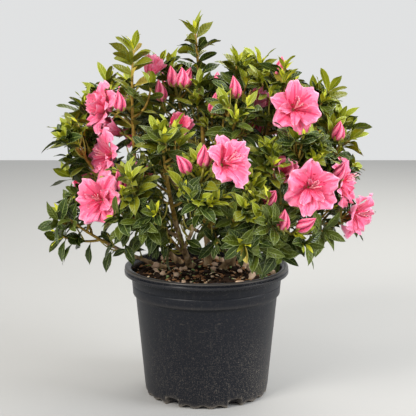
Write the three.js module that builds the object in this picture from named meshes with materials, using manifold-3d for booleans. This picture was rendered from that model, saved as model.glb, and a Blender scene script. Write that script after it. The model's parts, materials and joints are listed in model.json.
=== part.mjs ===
// An azalea shrub in flower, growing in a round black grower's container.
// Millimetres, +Z up. The origin is the middle of the container's flat underside, and -Y is the front.
// Seven stems rise from the soil, boughs leave them, and each of these limbs ends in its own mass of
// foliage: a leader that carries on from the limb's tip, shoots that leave it by a seeded rule, leaves,
// buds and blooms.
import * as THREE from "three";
import Module from "manifold-3d";
import { mergeVertices } from "three/addons/utils/BufferGeometryUtils.js";

const wasm = await Module();
wasm.setup();

// The container: a 28 cm squat grower's pot with a rolled lip, a stepped collar and drain notches
// at its foot.
const POT_HEIGHT = 222;
const LIP_RADIUS = 140;
const LIP_DEPTH = 9.5;
const COLLAR_TOP_RADIUS = 128.7;
const COLLAR_FOOT_RADIUS = 125.7;
const COLLAR_FOOT_HEIGHT = 172;
const BODY_TOP_RADIUS = 120.8;
const BODY_TOP_HEIGHT = 165;
const BODY_FOOT_RADIUS = 106;
const BODY_FOOT_HEIGHT = 8;
const UNDERSIDE_RADIUS = 103.5;
const POT_WALL = 2.4;
const POT_FLOOR = 3;
const POT_SIDES = 26;
const NOTCH_COUNT = 6;
const NOTCH_WIDTH = 25;
const NOTCH_HEIGHT = 13;
const NOTCH_DEPTH = 12;
const NOTCH_TURN = 27; // degrees from the front to the first notch

// The potting mix fills the pot to just under its lip and rises a little round the stems.
const SOIL_EDGE_HEIGHT = 207;
const SOIL_HEIGHT = 210;

// One gap for all pieces that touch.
const GAP = 0.3;
const LIMB_SIDES = 5;
const STRAIGHT = 0.01; // a line that bends less than this share of its length counts as straight

// Corners nearer than this are one corner.
const WELD = 1e-3;

// Stems and boughs. A limb's line runs on as the leader of its mass, to the tip given here.
// from: "soil" with the foot's x and y, or another limb with the share of its line where this one leaves.
// tip: bearing in degrees from +X towards +Y, reach from the pot's axis, height.
// bare: the share of the line that is bare limb. rise: 0 leaves flat, 1 leaves straight up.
const LIMBS = {
  front_left: { from: "soil", at: [-28, 30], tip: [-118, 147, 454], bare: 0.42, rise: 0.47, radius: 5.6 },
  top: { from: "soil", at: [3, 48], tip: [150, 21, 612], bare: 0.46, rise: 0.95, radius: 5.2 },
  top_right: { from: "soil", at: [42, 40], tip: [-14, 122, 552], bare: 0.46, rise: 0.72, radius: 4.8 },
  left: { from: "soil", at: [-46, 52], tip: [-172, 228, 447], bare: 0.46, rise: 0.5, radius: 4.8 },
  back: { from: "soil", at: [4, 84], tip: [95, 196, 476], bare: 0.42, rise: 0.62, radius: 4.8 },
  front_right: { from: "soil", at: [28, 12], tip: [-52, 166, 408], bare: 0.42, rise: 0.5, radius: 4.6 },
  left_low: { from: "soil", at: [-72, 24], tip: [-163, 241, 319], bare: 0.5, rise: 0.3, radius: 3.4 },
  rear_left_top: { from: "top", at: 0.3, tip: [130, 92, 553], bare: 0.42, rise: 0.7, radius: 3.2 },
  rear_right_top: { from: "top", at: 0.22, tip: [52, 118, 530], bare: 0.42, rise: 0.6, radius: 3.2 },
  mid_top: { from: "top", at: 0.38, tip: [18, 65, 553], bare: 0.36, rise: 0.6, radius: 3.0 },
  front_top: { from: "top", at: 0.26, tip: [-57, 86, 488], bare: 0.4, rise: 0.5, radius: 3.0 },
  front: { from: "front_left", at: 0.18, tip: [-93, 166, 392], bare: 0.46, rise: 0.3, radius: 3.4 },
  front_left_low: { from: "front_left", at: 0.28, tip: [-130, 184, 364], bare: 0.38, rise: 0.3, radius: 3.2 },
  top_left: { from: "left", at: 0.3, tip: [-175, 121, 586], bare: 0.36, rise: 0.75, radius: 3.6 },
  left_back: { from: "left", at: 0.36, tip: [168, 186, 500], bare: 0.36, rise: 0.6, radius: 3.2 },
  right_back: { from: "top_right", at: 0.36, tip: [9, 193, 499], bare: 0.36, rise: 0.6, radius: 3.2 },
  right: { from: "top_right", at: 0.26, tip: [-5, 238, 437], bare: 0.42, rise: 0.42, radius: 3.4 },
  right_front: { from: "top_right", at: 0.2, tip: [-32, 186, 434], bare: 0.4, rise: 0.4, radius: 3.2 },
  inner_left: { from: "front_left", at: 0.1, tip: [-131, 112, 304], bare: 0.36, rise: 0.4, radius: 2.8 },
  inner_front: { from: "front_right", at: 0.12, tip: [-95, 84, 318], bare: 0.34, rise: 0.5, radius: 2.8 },
  front_low: { from: "front_right", at: 0.3, tip: [-66, 197, 332], bare: 0.36, rise: 0.25, radius: 3.0 },
  right_low: { from: "front_right", at: 0.22, tip: [-42, 186, 300], bare: 0.42, rise: 0.25, radius: 3.0 },
  right_outer: { from: "front_right", at: 0.14, tip: [-13, 236, 314], bare: 0.46, rise: 0.3, radius: 3.2 },
  back_left: { from: "back", at: 0.24, tip: [130, 196, 462], bare: 0.42, rise: 0.5, radius: 3.2 },
  back_right: { from: "back", at: 0.3, tip: [58, 200, 480], bare: 0.42, rise: 0.5, radius: 3.2 },
  back_left_low: { from: "back", at: 0.14, tip: [143, 228, 345], bare: 0.42, rise: 0.3, radius: 3.0 },
  back_low: { from: "back", at: 0.34, tip: [96, 214, 326], bare: 0.36, rise: 0.15, radius: 3.0 },
  right_back_low: { from: "top_right", at: 0.13, tip: [14, 226, 366], bare: 0.44, rise: 0.3, radius: 3.0 },
  back_right_low: { from: "back", at: 0.18, tip: [53, 222, 340], bare: 0.42, rise: 0.3, radius: 3.0 },
};

// Flowers, by mass: kind, then where (bearing, reach, height) and which way it faces (bearing, elevation).
const FLOWERS = {
  front_left_low: [
    ["open", [-143, 216, 356], [-112, 8]],
    ["bud", [-139, 180, 384], [-120, 70]],
  ],
  front: [
    ["open", [-79, 194, 427], [-50, 22]],
    ["bud", [-100, 193, 420], [-150, 50]],
    ["bud", [-91, 190, 432], [-90, 80]],
  ],
  top_right: [
    ["open", [-32, 168, 498], [-82, 14]],
    ["bud", [-14, 128, 566], [-30, 75]],
  ],
  front_right: [
    ["open", [-43, 222, 378], [-86, 4]],
    ["bud", [-57, 182, 364], [-60, 40]],
  ],
  right_outer: [["open", [-14, 262, 319], [-22, -18]]],
  left_back: [
    ["open", [-174, 178, 492], [-150, 12]],
    ["bud", [-157, 152, 504], [-120, 75]],
  ],
  left: [["open", [-166, 176, 415], [-150, 5]]],
  right: [
    ["open", [-16, 236, 376], [-24, 4]],
    ["bud", [-13, 221, 455], [-60, 75]],
  ],
  rear_left_top: [
    ["bud", [160, 60, 539], [160, 78]],
    ["bud", [145, 40, 537], [-20, 70]],
  ],
  front_top: [
    ["bud", [-52, 76, 526], [-140, 76]],
    ["half", [-21, 85, 496], [-40, 50]],
  ],
  right_low: [
    ["bud", [-55, 208, 330], [-70, 78]],
    ["bud", [-46, 222, 322], [-30, 35]],
  ],
  top_left: [["half", [166, 98, 548], [60, 50]]],
  rear_right_top: [["open", [48, 140, 520], [60, 45]]],
  right_back: [["open", [22, 205, 452], [30, 15]]],
  back_left: [
    ["open", [124, 218, 440], [118, 15]],
    ["bud", [136, 200, 476], [130, 75]],
  ],
  back_right: [
    ["open", [62, 222, 452], [66, 18]],
    ["bud", [52, 205, 490], [50, 70]],
  ],
  back: [["bud", [97, 200, 490], [95, 75]]],
  back_left_low: [["open", [156, 240, 352], [160, 5]]],
  back_low: [["open", [88, 232, 338], [88, 5]]],
  back_right_low: [["bud", [50, 232, 358], [50, 50]]],
  right_back_low: [["open", [17, 243, 372], [14, 8]]],
};

// Foliage. The leaves of the solids are fewer and larger than life. Their spread gives the crown's
// outline.
const SHOOTS = 5; // on each leader
const SHOOT_LENGTH = 62;
const SHOOT_RADIUS = 2.1;
const SHOOT_STOPS = [0, 0.35, 1]; // shares of a shoot's line with a ring of corners
const STALK_RADIUS = 1.8;
const LEADER_TIP_RADIUS = 2.2;
const LEAF_LENGTH = 66;
const LEAF_WIDTH = 30;
const LEAF_FOLD = 2.2; // its midrib above its sides
const LEAF_ROOT = 0.9; // how far past the twig's middle a leaf begins
const LEAF_WIDEST = 0.44; // of its length
const SHOOT_LEAVES = 3;
const LEADER_SPACING = 22; // from leaf to leaf
const RETRIES = 5; // turned further each time, before a twig or leaf is skipped
const RETRY_ANGLE = 47;
const GOLDEN_ANGLE = 137.5;
const GOLDEN_SHARE = 0.618034;
const BLOOM_RADIUS = 41;
const HALF_RADIUS = 19;
const BUD_RADIUS = 8;
const BUD_LENGTH = 31;

// The dome that the side shoots fill, and the lowest that a leaf may hang outside the pot.
const DOME_MIDDLE = 325;
const DOME_RADII = [256, 236, 212];
const DOME_DROP = 106;
const DOME_POWER = 3; // 2 is an ellipsoid, and more has fuller shoulders
const LOWEST_LEAF = 198;
const POT_CLEARANCE = 3;

const MATERIALS = {
  pot: new THREE.MeshStandardMaterial({ color: 0x24272b, roughness: 0.62, metalness: 0 }),
  soil: new THREE.MeshStandardMaterial({ color: 0x3a2719, roughness: 0.95, metalness: 0 }),
  bark: new THREE.MeshStandardMaterial({ color: 0x6b5232, roughness: 0.85, metalness: 0 }),
  foliage: new THREE.MeshStandardMaterial({ color: 0x3f6b22, roughness: 0.45, metalness: 0 }),
};

const UP = new THREE.Vector3(0, 0, 1);
const CROWN_HEART = new THREE.Vector3(0, 20, 265); // shoots and leaves turn away from here
const radians = THREE.MathUtils.degToRad;

// A number from 0 to 1 that depends only on its three seeds.
function chance(a, b, c) {
  const s = Math.sin(a * 12.9898 + b * 78.233 + c * 37.719) * 43758.5453;
  return s - Math.floor(s);
}

function polar([bearing, reach, height]) {
  return new THREE.Vector3(reach * Math.cos(radians(bearing)), reach * Math.sin(radians(bearing)), height);
}

function facingOf([bearing, elevation]) {
  const flat = Math.cos(radians(elevation));
  return polar([bearing, flat, Math.sin(radians(elevation))]);
}

// A closed geometry as a solid, its vertices welded where they meet, and below it a solid as a geometry.
function solidOf(geometry) {
  const bare = geometry.clone();
  for (const name of Object.keys(bare.attributes)) if (name !== "position") bare.deleteAttribute(name);
  const merged = mergeVertices(bare, WELD);
  const corners = merged.index.array;
  const faces = [];
  for (let i = 0; i < corners.length; i += 3) {
    const [a, b, c] = corners.slice(i, i + 3);
    if (a !== b && b !== c && c !== a) faces.push(a, b, c);
  }
  return new wasm.Manifold(
    new wasm.Mesh({
      numProp: 3,
      vertProperties: merged.attributes.position.array,
      triVerts: new Uint32Array(faces),
    }),
  );
}

function geometryOf(solid) {
  const mesh = solid.getMesh();
  const geometry = new THREE.BufferGeometry();
  geometry.setAttribute("position", new THREE.BufferAttribute(new Float32Array(mesh.vertProperties), 3));
  geometry.setIndex(new THREE.BufferAttribute(mesh.triVerts, 1));
  geometry.computeVertexNormals();
  return geometry;
}

// A geometry from points and faces. A face lists its corners anticlockwise, seen from outside.
function facetedGeometry(points, faces) {
  const geometry = new THREE.BufferGeometry();
  const numbers = points.flatMap((p) => p.toArray());
  geometry.setAttribute("position", new THREE.Float32BufferAttribute(numbers, 3));
  geometry.setIndex(faces.flat());
  return geometry;
}

// The largest body of a solid: what is left of a bough past the bark that it sits on.
function largestBody(solid) {
  const bodies = solid.decompose();
  return bodies.reduce((best, b) => (b.volume() > best.volume() ? b : best));
}

// True where every edge has exactly two faces, also once corners that nearly meet are taken as one.
function isClean(geometry) {
  const place = geometry.attributes.position;
  const corners = geometry.index.array;
  return [4, 3, 2].every((digits) => {
    const key = (i) => [place.getX(i), place.getY(i), place.getZ(i)].map((v) => v.toFixed(digits)).join();
    const keys = Array.from({ length: place.count }, (_, i) => key(i));
    const uses = new Map();
    for (let i = 0; i < corners.length; i += 3) {
      const [a, b, c] = [0, 1, 2].map((j) => keys[corners[i + j]]);
      if (a === b || b === c || c === a) continue;
      for (const ends of [[a, b], [b, c], [c, a]]) {
        const edge = ends.sort().join();
        uses.set(edge, (uses.get(edge) ?? 0) + 1);
      }
    }
    return [...uses.values()].every((n) => n === 2);
  });
}

// Two solids fused, or null where they don't meet or their joint would leave an edge that touches itself.
function fused(whole, piece) {
  const both = whole.add(piece);
  return both.decompose().length === 1 && isClean(geometryOf(both)) ? both : null;
}

// A revolved profile of [radius, height] pairs, closed on itself or on the axis.
function turned(profile, sides) {
  const outline = profile.map(([r, z]) => new THREE.Vector2(r, z));
  const geometry = new THREE.LatheGeometry(outline, sides);
  return solidOf(geometry.rotateX(Math.PI / 2));
}

function potSolid() {
  const inner = (r) => r - POT_WALL;
  const outside = [
    [0, 0],
    [UNDERSIDE_RADIUS, 0],
    [BODY_FOOT_RADIUS, BODY_FOOT_HEIGHT],
    [BODY_TOP_RADIUS, BODY_TOP_HEIGHT],
    [COLLAR_FOOT_RADIUS, COLLAR_FOOT_HEIGHT],
    [COLLAR_TOP_RADIUS, POT_HEIGHT - LIP_DEPTH],
    [LIP_RADIUS - 1, POT_HEIGHT - LIP_DEPTH],
    [LIP_RADIUS, POT_HEIGHT - LIP_DEPTH + 2],
    [LIP_RADIUS, POT_HEIGHT - 3],
    [LIP_RADIUS - 3, POT_HEIGHT],
  ];
  const inside = [
    [COLLAR_TOP_RADIUS + 2, POT_HEIGHT],
    [inner(COLLAR_TOP_RADIUS), POT_HEIGHT - 3],
    [inner(COLLAR_FOOT_RADIUS), COLLAR_FOOT_HEIGHT + 2],
    [inner(BODY_TOP_RADIUS), BODY_TOP_HEIGHT],
    [inner(BODY_FOOT_RADIUS), BODY_FOOT_HEIGHT],
    [inner(BODY_FOOT_RADIUS) - 2, POT_FLOOR],
    [0, POT_FLOOR],
  ];
  let pot = turned([...outside, ...inside], POT_SIDES);
  for (let k = 0; k < NOTCH_COUNT; k += 1) {
    const notch = new THREE.BoxGeometry(NOTCH_WIDTH, NOTCH_DEPTH, 2 * NOTCH_HEIGHT);
    notch.translate(0, -(BODY_FOOT_RADIUS + 2 - NOTCH_DEPTH / 2), 0);
    notch.rotateZ(radians(NOTCH_TURN + (k * 360) / NOTCH_COUNT));
    pot = pot.subtract(solidOf(notch));
  }
  return pot;
}

function soilSolid() {
  const inner = (r) => r - POT_WALL - GAP;
  return turned(
    [
      [0, POT_FLOOR + GAP],
      [inner(BODY_FOOT_RADIUS) - NOTCH_DEPTH, POT_FLOOR + GAP],
      [inner(BODY_FOOT_RADIUS) - NOTCH_DEPTH, NOTCH_HEIGHT + 2],
      [inner(BODY_FOOT_RADIUS), NOTCH_HEIGHT + 5],
      [inner(BODY_TOP_RADIUS), BODY_TOP_HEIGHT],
      [inner(COLLAR_FOOT_RADIUS), COLLAR_FOOT_HEIGHT + 4],
      [inner(COLLAR_TOP_RADIUS) - 0.5, SOIL_EDGE_HEIGHT],
      [LIP_RADIUS - 35, SOIL_HEIGHT],
      [0, SOIL_HEIGHT],
    ],
    POT_SIDES,
  );
}

// A limb's line is a quadratic curve: it leaves its foot by its rise, and bends towards its tip.
function lineOf(foot, tip, rise, pull = 0.6) {
  const flat = tip.clone().sub(foot).setZ(0).normalize();
  const start = flat.multiplyScalar(1 - rise).addScaledVector(UP, rise).normalize();
  const bend = foot.clone().addScaledVector(start, pull * foot.distanceTo(tip));
  return new THREE.QuadraticBezierCurve3(foot, bend, tip);
}

// A tapering rod along a line, with a ring of corners at each stop. Its foot is flat, or a point inside
// its parent.
function rodSolid(line, stops, radiusAt, sides, pointed = false) {
  const points = [];
  const faces = [];
  const rings = pointed ? stops.slice(1) : stops;
  const across = planeNormalOf(line);
  for (const t of rings) {
    const out = line.getTangent(t).cross(across).normalize();
    for (let j = 0; j < sides; j += 1) {
      const turn = (2 * Math.PI * j) / sides;
      const corner = line.getPoint(t);
      corner.addScaledVector(across, radiusAt(t) * Math.cos(turn));
      corner.addScaledVector(out, radiusAt(t) * Math.sin(turn));
      points.push(corner);
    }
  }
  const last = (rings.length - 1) * sides;
  for (let i = 0; i < rings.length - 1; i += 1) {
    for (let j = 0; j < sides; j += 1) {
      const [a, b] = [i * sides + j, i * sides + ((j + 1) % sides)];
      faces.push([a, b, b + sides], [a, b + sides, a + sides]);
    }
  }
  for (let j = 1; j < sides - 1; j += 1) faces.push([last, last + j, last + j + 1]);
  if (!pointed) for (let j = 1; j < sides - 1; j += 1) faces.push([0, j + 1, j]);
  if (pointed) {
    points.push(line.getPoint(stops[0]));
    for (let j = 0; j < sides; j += 1) faces.push([points.length - 1, (j + 1) % sides, j]);
  }
  return solidOf(facetedGeometry(points, faces));
}

// Even steps from one share of a line to another.
function stopsFrom(t0, t1, steps) {
  return Array.from({ length: steps + 1 }, (_, i) => t0 + ((t1 - t0) * i) / steps);
}

// A direction square to another, the same on every run.
function acrossOf(along) {
  const helper = new THREE.Vector3(0.93, -0.27, 0.25);
  return helper.cross(along).normalize();
}

// The direction square to the plane that a line bends in. It is one for the whole line, so that the rings
// along it don't turn.
function planeNormalOf(line) {
  const chord = line.v2.clone().sub(line.v0);
  const normal = line.v1.clone().sub(line.v0).cross(chord);
  if (normal.length() > STRAIGHT * chord.lengthSq()) return normal.normalize();
  return acrossOf(chord.normalize());
}

const limbNames = Object.keys(LIMBS);
const lines = {};
for (const name of limbNames) {
  const { from, at, tip, rise } = LIMBS[name];
  const foot = from === "soil" ? new THREE.Vector3(...at, SOIL_HEIGHT + GAP) : lines[from].getPoint(at);
  lines[name] = lineOf(foot, polar(tip), rise);
}

// A limb tapers evenly to its leader's tip, and a stem flares where it stands on the soil.
function radiusOf(name) {
  const { from, radius } = LIMBS[name];
  const flare = from === "soil" ? 0.7 : 0;
  return (t) => {
    const taper = radius + (LEADER_TIP_RADIUS - radius) * t;
    return taper * (1 + flare * Math.exp(-t / 0.03));
  };
}

// A bough is hollowed where it meets its parent, so that it sits on the parent's bark with the gap
// between.
function limbSolid(name, made) {
  let limb = rodSolid(lines[name], limbStops(name), radiusOf(name), LIMB_SIDES);
  if (LIMBS[name].from === "soil") limb = limb.intersect(aboveSoil());
  for (const other of Object.keys(made)) {
    const wide = (t) => radiusOf(other)(t) + GAP;
    const sleeve = rodSolid(lines[other], limbStops(other), wide, LIMB_SIDES);
    if (limb.intersect(sleeve).volume() > 0) limb = largestBody(limb.subtract(sleeve));
  }
  return limb;
}

function limbStops(name) {
  const { from, bare } = LIMBS[name];
  return from === "soil" ? [0, 0.02, 0.06, ...stopsFrom(0.12, bare, 3)] : stopsFrom(0, bare, 3);
}

function aboveSoil() {
  const block = new THREE.BoxGeometry(4 * LIP_RADIUS, 4 * LIP_RADIUS, 4 * POT_HEIGHT);
  return solidOf(block.translate(0, 0, SOIL_HEIGHT + GAP + 2 * POT_HEIGHT));
}

// A leaf is a thin kite of four faces, folded along a raised midrib that runs from its root to its tip.
function leafSolid({ base, along, normal, length, width }) {
  const side = along.clone().cross(normal).normalize();
  const face = side.clone().cross(along).normalize();
  const root = base.clone().addScaledVector(along, -LEAF_ROOT);
  const tip = base.clone().addScaledVector(along, length);
  const middle = base.clone().addScaledVector(along, LEAF_WIDEST * length);
  middle.addScaledVector(face, -LEAF_FOLD);
  const left = middle.clone().addScaledVector(side, width / 2);
  const right = middle.clone().addScaledVector(side, -width / 2);
  return solidOf(
    facetedGeometry(
      [root, tip, left, right],
      [
        [0, 1, 3],
        [0, 2, 1],
        [0, 3, 2],
        [1, 2, 3],
      ],
    ),
  );
}

// An open bloom is a thin star-shaped funnel of five lobes, its throat hollowed to a few millimetres
// of its back.
function bloomSolid(centre, facing, radius) {
  const across = acrossOf(facing);
  const up = facing.clone().cross(across);
  const at = (r, turn, lift) =>
    centre
      .clone()
      .addScaledVector(across, r * Math.cos(turn))
      .addScaledVector(up, r * Math.sin(turn))
      .addScaledVector(facing, lift);
  const points = [at(0, 0, -0.62 * radius), at(0, 0, -0.42 * radius)];
  const lobes = 5;
  for (let k = 0; k < lobes; k += 1) {
    const turn = (2 * Math.PI * k) / lobes;
    const notch = turn + Math.PI / lobes;
    points.push(at(0.36 * radius, turn, -0.2 * radius), at(0.34 * radius, turn, -0.1 * radius));
    points.push(at(radius, turn, 0.02 * radius), at(0.78 * radius, notch, -0.06 * radius));
  }
  const faces = [];
  for (let k = 0; k < lobes; k += 1) {
    const [back, front, tip, notch] = [0, 1, 2, 3].map((i) => 2 + 4 * k + i);
    const [backNext, frontNext, tipNext] = [0, 1, 2].map((i) => 2 + 4 * ((k + 1) % lobes) + i);
    faces.push([0, backNext, back], [back, backNext, notch]);
    faces.push([back, notch, tip], [backNext, tipNext, notch]);
    faces.push([1, front, frontNext], [front, notch, frontNext]);
    faces.push([front, tip, notch], [frontNext, notch, tipNext]);
  }
  return solidOf(facetedGeometry(points, faces));
}

// A bud is a spindle, widest below its middle.
function budSolid(centre, facing, radius, length) {
  const profile = [
    [0, -0.45],
    [0.72, -0.28],
    [1, 0],
    [0, 0.55],
  ].map(([r, h]) => new THREE.Vector2(r * radius, h * length));
  const geometry = new THREE.LatheGeometry(profile, 5);
  geometry.applyQuaternion(new THREE.Quaternion().setFromUnitVectors(new THREE.Vector3(0, 1, 0), facing));
  return solidOf(geometry.translate(...centre.toArray()));
}

// Where a flower's stalk leaves the leader: the nearest point of the line that lies a little below the
// flower.
function stalkOf(name, place) {
  const line = lines[name];
  const first = LIMBS[name].bare + 0.06;
  let best = first;
  let shortest = Infinity;
  for (let t = first; t < 0.96; t += 0.02) {
    const p = line.getPoint(t);
    const below = Math.max(0, p.z - place.z + 0.5 * p.distanceTo(place));
    const cost = p.distanceTo(place) + 2 * below;
    if (cost < shortest) [best, shortest] = [t, cost];
  }
  const foot = line.getPoint(best);
  const bend = foot.clone().lerp(place, 0.5);
  bend.addScaledVector(line.getTangent(best), 0.12 * foot.distanceTo(place));
  return { bend, foot };
}

// Each flower with its place, its facing, its size and the line of its stalk.
const flowers = {};
for (const name of limbNames) {
  flowers[name] = (FLOWERS[name] ?? []).map(([kind, where, faces]) => {
    const centre = polar(where);
    const facing = facingOf(faces);
    const depth = { open: 0.55 * BLOOM_RADIUS, half: 0.3 * BUD_LENGTH, bud: 0.3 * BUD_LENGTH }[kind];
    const seat = centre.clone().addScaledVector(facing, -depth);
    const { foot, bend } = stalkOf(name, seat);
    return { kind, centre, facing, stalk: new THREE.QuadraticBezierCurve3(foot, bend, seat) };
  });
}

// Points along each mass's leader and stalks. A spot belongs to the mass whose points are nearest.
const spines = limbNames.map((name) => {
  const points = [];
  for (let t = LIMBS[name].bare; t <= 1; t += 0.05) points.push(lines[name].getPoint(t));
  for (const { stalk } of flowers[name]) for (const t of [0.35, 0.7, 1]) points.push(stalk.getPoint(t));
  return points;
});

function ownerOf(spot) {
  let best = -1;
  let nearest = Infinity;
  spines.forEach((points, i) => {
    for (const p of points) {
      const d = p.distanceToSquared(spot);
      if (d < nearest) [best, nearest] = [i, d];
    }
  });
  return best;
}

// True where a spot lies in the space that a bloom needs, seen as a flat ellipsoid round it.
function inBloom(spot) {
  return limbNames.some((name) =>
    flowers[name].some(({ kind, centre, facing }) => {
      const size = { open: [1.0 * BLOOM_RADIUS, 0.5 * BLOOM_RADIUS], half: [14, 16], bud: [9, 15] }[kind];
      const away = spot.clone().sub(centre);
      const lift = away.dot(facing);
      const wide = Math.sqrt(Math.max(0, away.lengthSq() - lift * lift));
      return (wide / size[0]) ** 2 + (lift / size[1]) ** 2 < 1;
    }),
  );
}

function inDome(spot) {
  const lift = (spot.z - DOME_MIDDLE) / (spot.z < DOME_MIDDLE ? DOME_DROP : DOME_RADII[2]);
  const shares = [spot.x / DOME_RADII[0], spot.y / DOME_RADII[1], lift];
  return shares.reduce((sum, v) => sum + Math.abs(v) ** DOME_POWER, 0) < 1;
}

// Clear of the pot and the soil: above the lip inside it, and outside the lip's edge below it.
function clearOfPot(spot) {
  const reach = Math.hypot(spot.x, spot.y);
  if (reach < LIP_RADIUS + POT_CLEARANCE) return spot.z > POT_HEIGHT + POT_CLEARANCE;
  return spot.z > LOWEST_LEAF;
}

// The direction that leaves a line sideways at a share t of it, turned about it by an angle in degrees.
function sidewaysOf(line, t, turn) {
  const along = line.getTangent(t);
  const across = acrossOf(along);
  const out = across.clone().multiplyScalar(Math.cos(radians(turn)));
  return out.addScaledVector(along.clone().cross(across), Math.sin(radians(turn)));
}

// A side shoot leaves the leader sideways, bends up and out, and is shorter the nearer it is to the
// leader's tip.
function shootAt(name, k, attempt) {
  const seed = limbNames.indexOf(name) + 1;
  const line = lines[name];
  const { bare } = LIMBS[name];
  const share = (0.5 + k * GOLDEN_SHARE) % 1;
  const t = bare + (1 - bare) * (0.1 + 0.76 * share);
  const foot = line.getPoint(t);
  const out = sidewaysOf(line, t, k * GOLDEN_ANGLE + 360 * chance(seed, 1, 1) + attempt * RETRY_ANGLE);
  const aim = out.clone().multiplyScalar(0.8).addScaledVector(line.getTangent(t), 0.35);
  aim.addScaledVector(outwardAt(foot), 0.4).addScaledVector(UP, 0.25).normalize();
  const start = out.addScaledVector(line.getTangent(t), 0.3).normalize();
  const length = SHOOT_LENGTH * (1.1 - 0.6 * share) * (0.85 + 0.3 * chance(seed, k, 2)) * 0.93 ** attempt;
  const bend = foot.clone().addScaledVector(start, 0.45 * length);
  return new THREE.QuadraticBezierCurve3(foot, bend, foot.clone().addScaledVector(aim, length));
}

// The way out of the crown from a spot inside it.
function outwardAt(spot) {
  return spot.clone().sub(CROWN_HEART).normalize();
}

// The i-th of count leaves on a stretch of a line. They turn by the golden angle, stand up towards the
// line's end, and tilt their faces to the light outside the crown.
function leafAt(line, [t0, t1], i, count, seed, attempt) {
  const share = i / (count - 1);
  const t = t0 + (t1 - t0) * share;
  const base = line.getPoint(t);
  const out = sidewaysOf(line, t, i * GOLDEN_ANGLE + 360 * chance(seed, 3, 7) + attempt * RETRY_ANGLE);
  const open = radians(74 - 38 * share ** 3);
  const along = line.getTangent(t).multiplyScalar(Math.cos(open)).addScaledVector(out, Math.sin(open));
  along.addScaledVector(UP, -0.12).normalize();
  const normal = outwardAt(base).addScaledVector(UP, 0.35).addScaledVector(line.getTangent(t), 0.35);
  const length = LEAF_LENGTH * (1 - 0.2 * share) * (0.88 + 0.24 * chance(seed, i, 5));
  return { base, along, normal, length, width: (LEAF_WIDTH * length) / LEAF_LENGTH };
}

// The pieces already placed, as solids with their boxes, so that no piece of one mass meets another's.
const placed = [];

function meetsOthers(solid, owner) {
  const box = solid.boundingBox();
  const apart = (b) => [0, 1, 2].some((i) => box.min[i] > b.max[i] + GAP || box.max[i] < b.min[i] - GAP);
  return placed.some((p) => p.owner !== owner && !apart(p.box) && p.solid.intersect(solid).volume() > 0);
}

function place(solid, owner) {
  placed.push({ solid, owner, box: solid.boundingBox() });
}

// A piece grown about its own middle, to keep it clear of what it is tested against.
function grown(solid) {
  const { min, max } = solid.boundingBox();
  const middle = min.map((v, i) => (v + max[i]) / 2);
  const factor = min.map((v, i) => 1 + (2 * GAP) / Math.max(6, max[i] - v));
  return solid
    .translate(middle.map((v) => -v))
    .scale(factor)
    .translate(middle);
}

function shootFits(shoot, owner) {
  const spots = [0.4, 0.7, 1].map((t) => shoot.getPoint(t));
  return spots.every((p) => ownerOf(p) === owner && !inBloom(p) && inDome(p) && clearOfPot(p));
}

// A leaf may touch its own twig at its root only, and nothing of another mass.
function leafFits(leaf, owner, own) {
  const spots = [0.45, 0.75, 1].map((s) => leaf.base.clone().addScaledVector(leaf.along, s * leaf.length));
  if (!spots.every((p) => clearOfPot(p) && !inBloom(p)) || ownerOf(spots[1]) !== owner) return false;
  const base = leaf.base.clone().lerp(spots[0], 0.3);
  const blade = grown(leafSolid({ ...leaf, base, length: 0.86 * leaf.length }));
  if (own.some((piece) => piece.intersect(blade).volume() > 0)) return false;
  return !meetsOthers(grown(leafSolid(leaf)), owner);
}

// The leader carries on from its limb's tip, across the gap.
function leaderSolid(name) {
  const start = LIMBS[name].bare + GAP / lines[name].getLength();
  const steps = LIMBS[name].from === "soil" ? 3 : 2;
  return rodSolid(lines[name], stopsFrom(start, 1, steps), radiusOf(name), 3);
}

function flowerSolids({ kind, centre, facing, stalk }) {
  const solids = [rodSolid(stalk, SHOOT_STOPS, () => STALK_RADIUS, 3, true)];
  if (kind === "open") solids.push(bloomSolid(centre, facing, BLOOM_RADIUS));
  if (kind !== "open") solids.push(budSolid(centre, facing, BUD_RADIUS, BUD_LENGTH));
  const mouth = centre.clone().addScaledVector(facing, 6);
  if (kind === "half") solids.push(bloomSolid(mouth, facing, HALF_RADIUS));
  return solids;
}

function massSolid(name) {
  const owner = limbNames.indexOf(name);
  const pieces = [];
  let whole = leaderSolid(name);
  const join = (piece) => {
    const both = fused(whole, piece);
    if (both === null) return false;
    whole = both;
    pieces.push(piece);
    return true;
  };
  flowers[name].flatMap(flowerSolids).forEach(join);
  const { bare } = LIMBS[name];
  const leader = {
    line: lines[name],
    stretch: [bare + 0.25 * (1 - bare), 0.985],
    count: Math.round((lines[name].getLength() * (1 - bare)) / LEADER_SPACING),
    seed: 50 + owner,
  };
  const twigs = [leader];
  for (let k = 0; k < SHOOTS; k += 1) {
    for (let attempt = 0; attempt < RETRIES; attempt += 1) {
      const line = shootAt(name, k, attempt);
      if (!shootFits(line, owner)) continue;
      const twig = rodSolid(line, SHOOT_STOPS, (t) => SHOOT_RADIUS * (1.1 - 0.2 * t), 3, true);
      if (meetsOthers(grown(twig), owner) || !join(twig)) continue;
      twigs.push({ line, stretch: [0.42, 0.96], count: SHOOT_LEAVES, seed: 100 * (owner + 1) + k });
      break;
    }
  }
  for (const { line, stretch, count, seed } of twigs) {
    for (let i = 0; i < count; i += 1) {
      for (let attempt = 0; attempt < RETRIES; attempt += 1) {
        const leaf = leafAt(line, stretch, i, count, seed, attempt);
        if (leafFits(leaf, owner, pieces) && join(leafSolid(leaf))) break;
      }
    }
  }
  place(whole, owner);
  return whole;
}

const shrub = new THREE.Group();

function add(name, solid, material) {
  const mesh = new THREE.Mesh(geometryOf(solid), material);
  mesh.name = name;
  shrub.add(mesh);
}

add("pot", potSolid(), MATERIALS.pot);
add("soil", soilSolid(), MATERIALS.soil);

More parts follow.
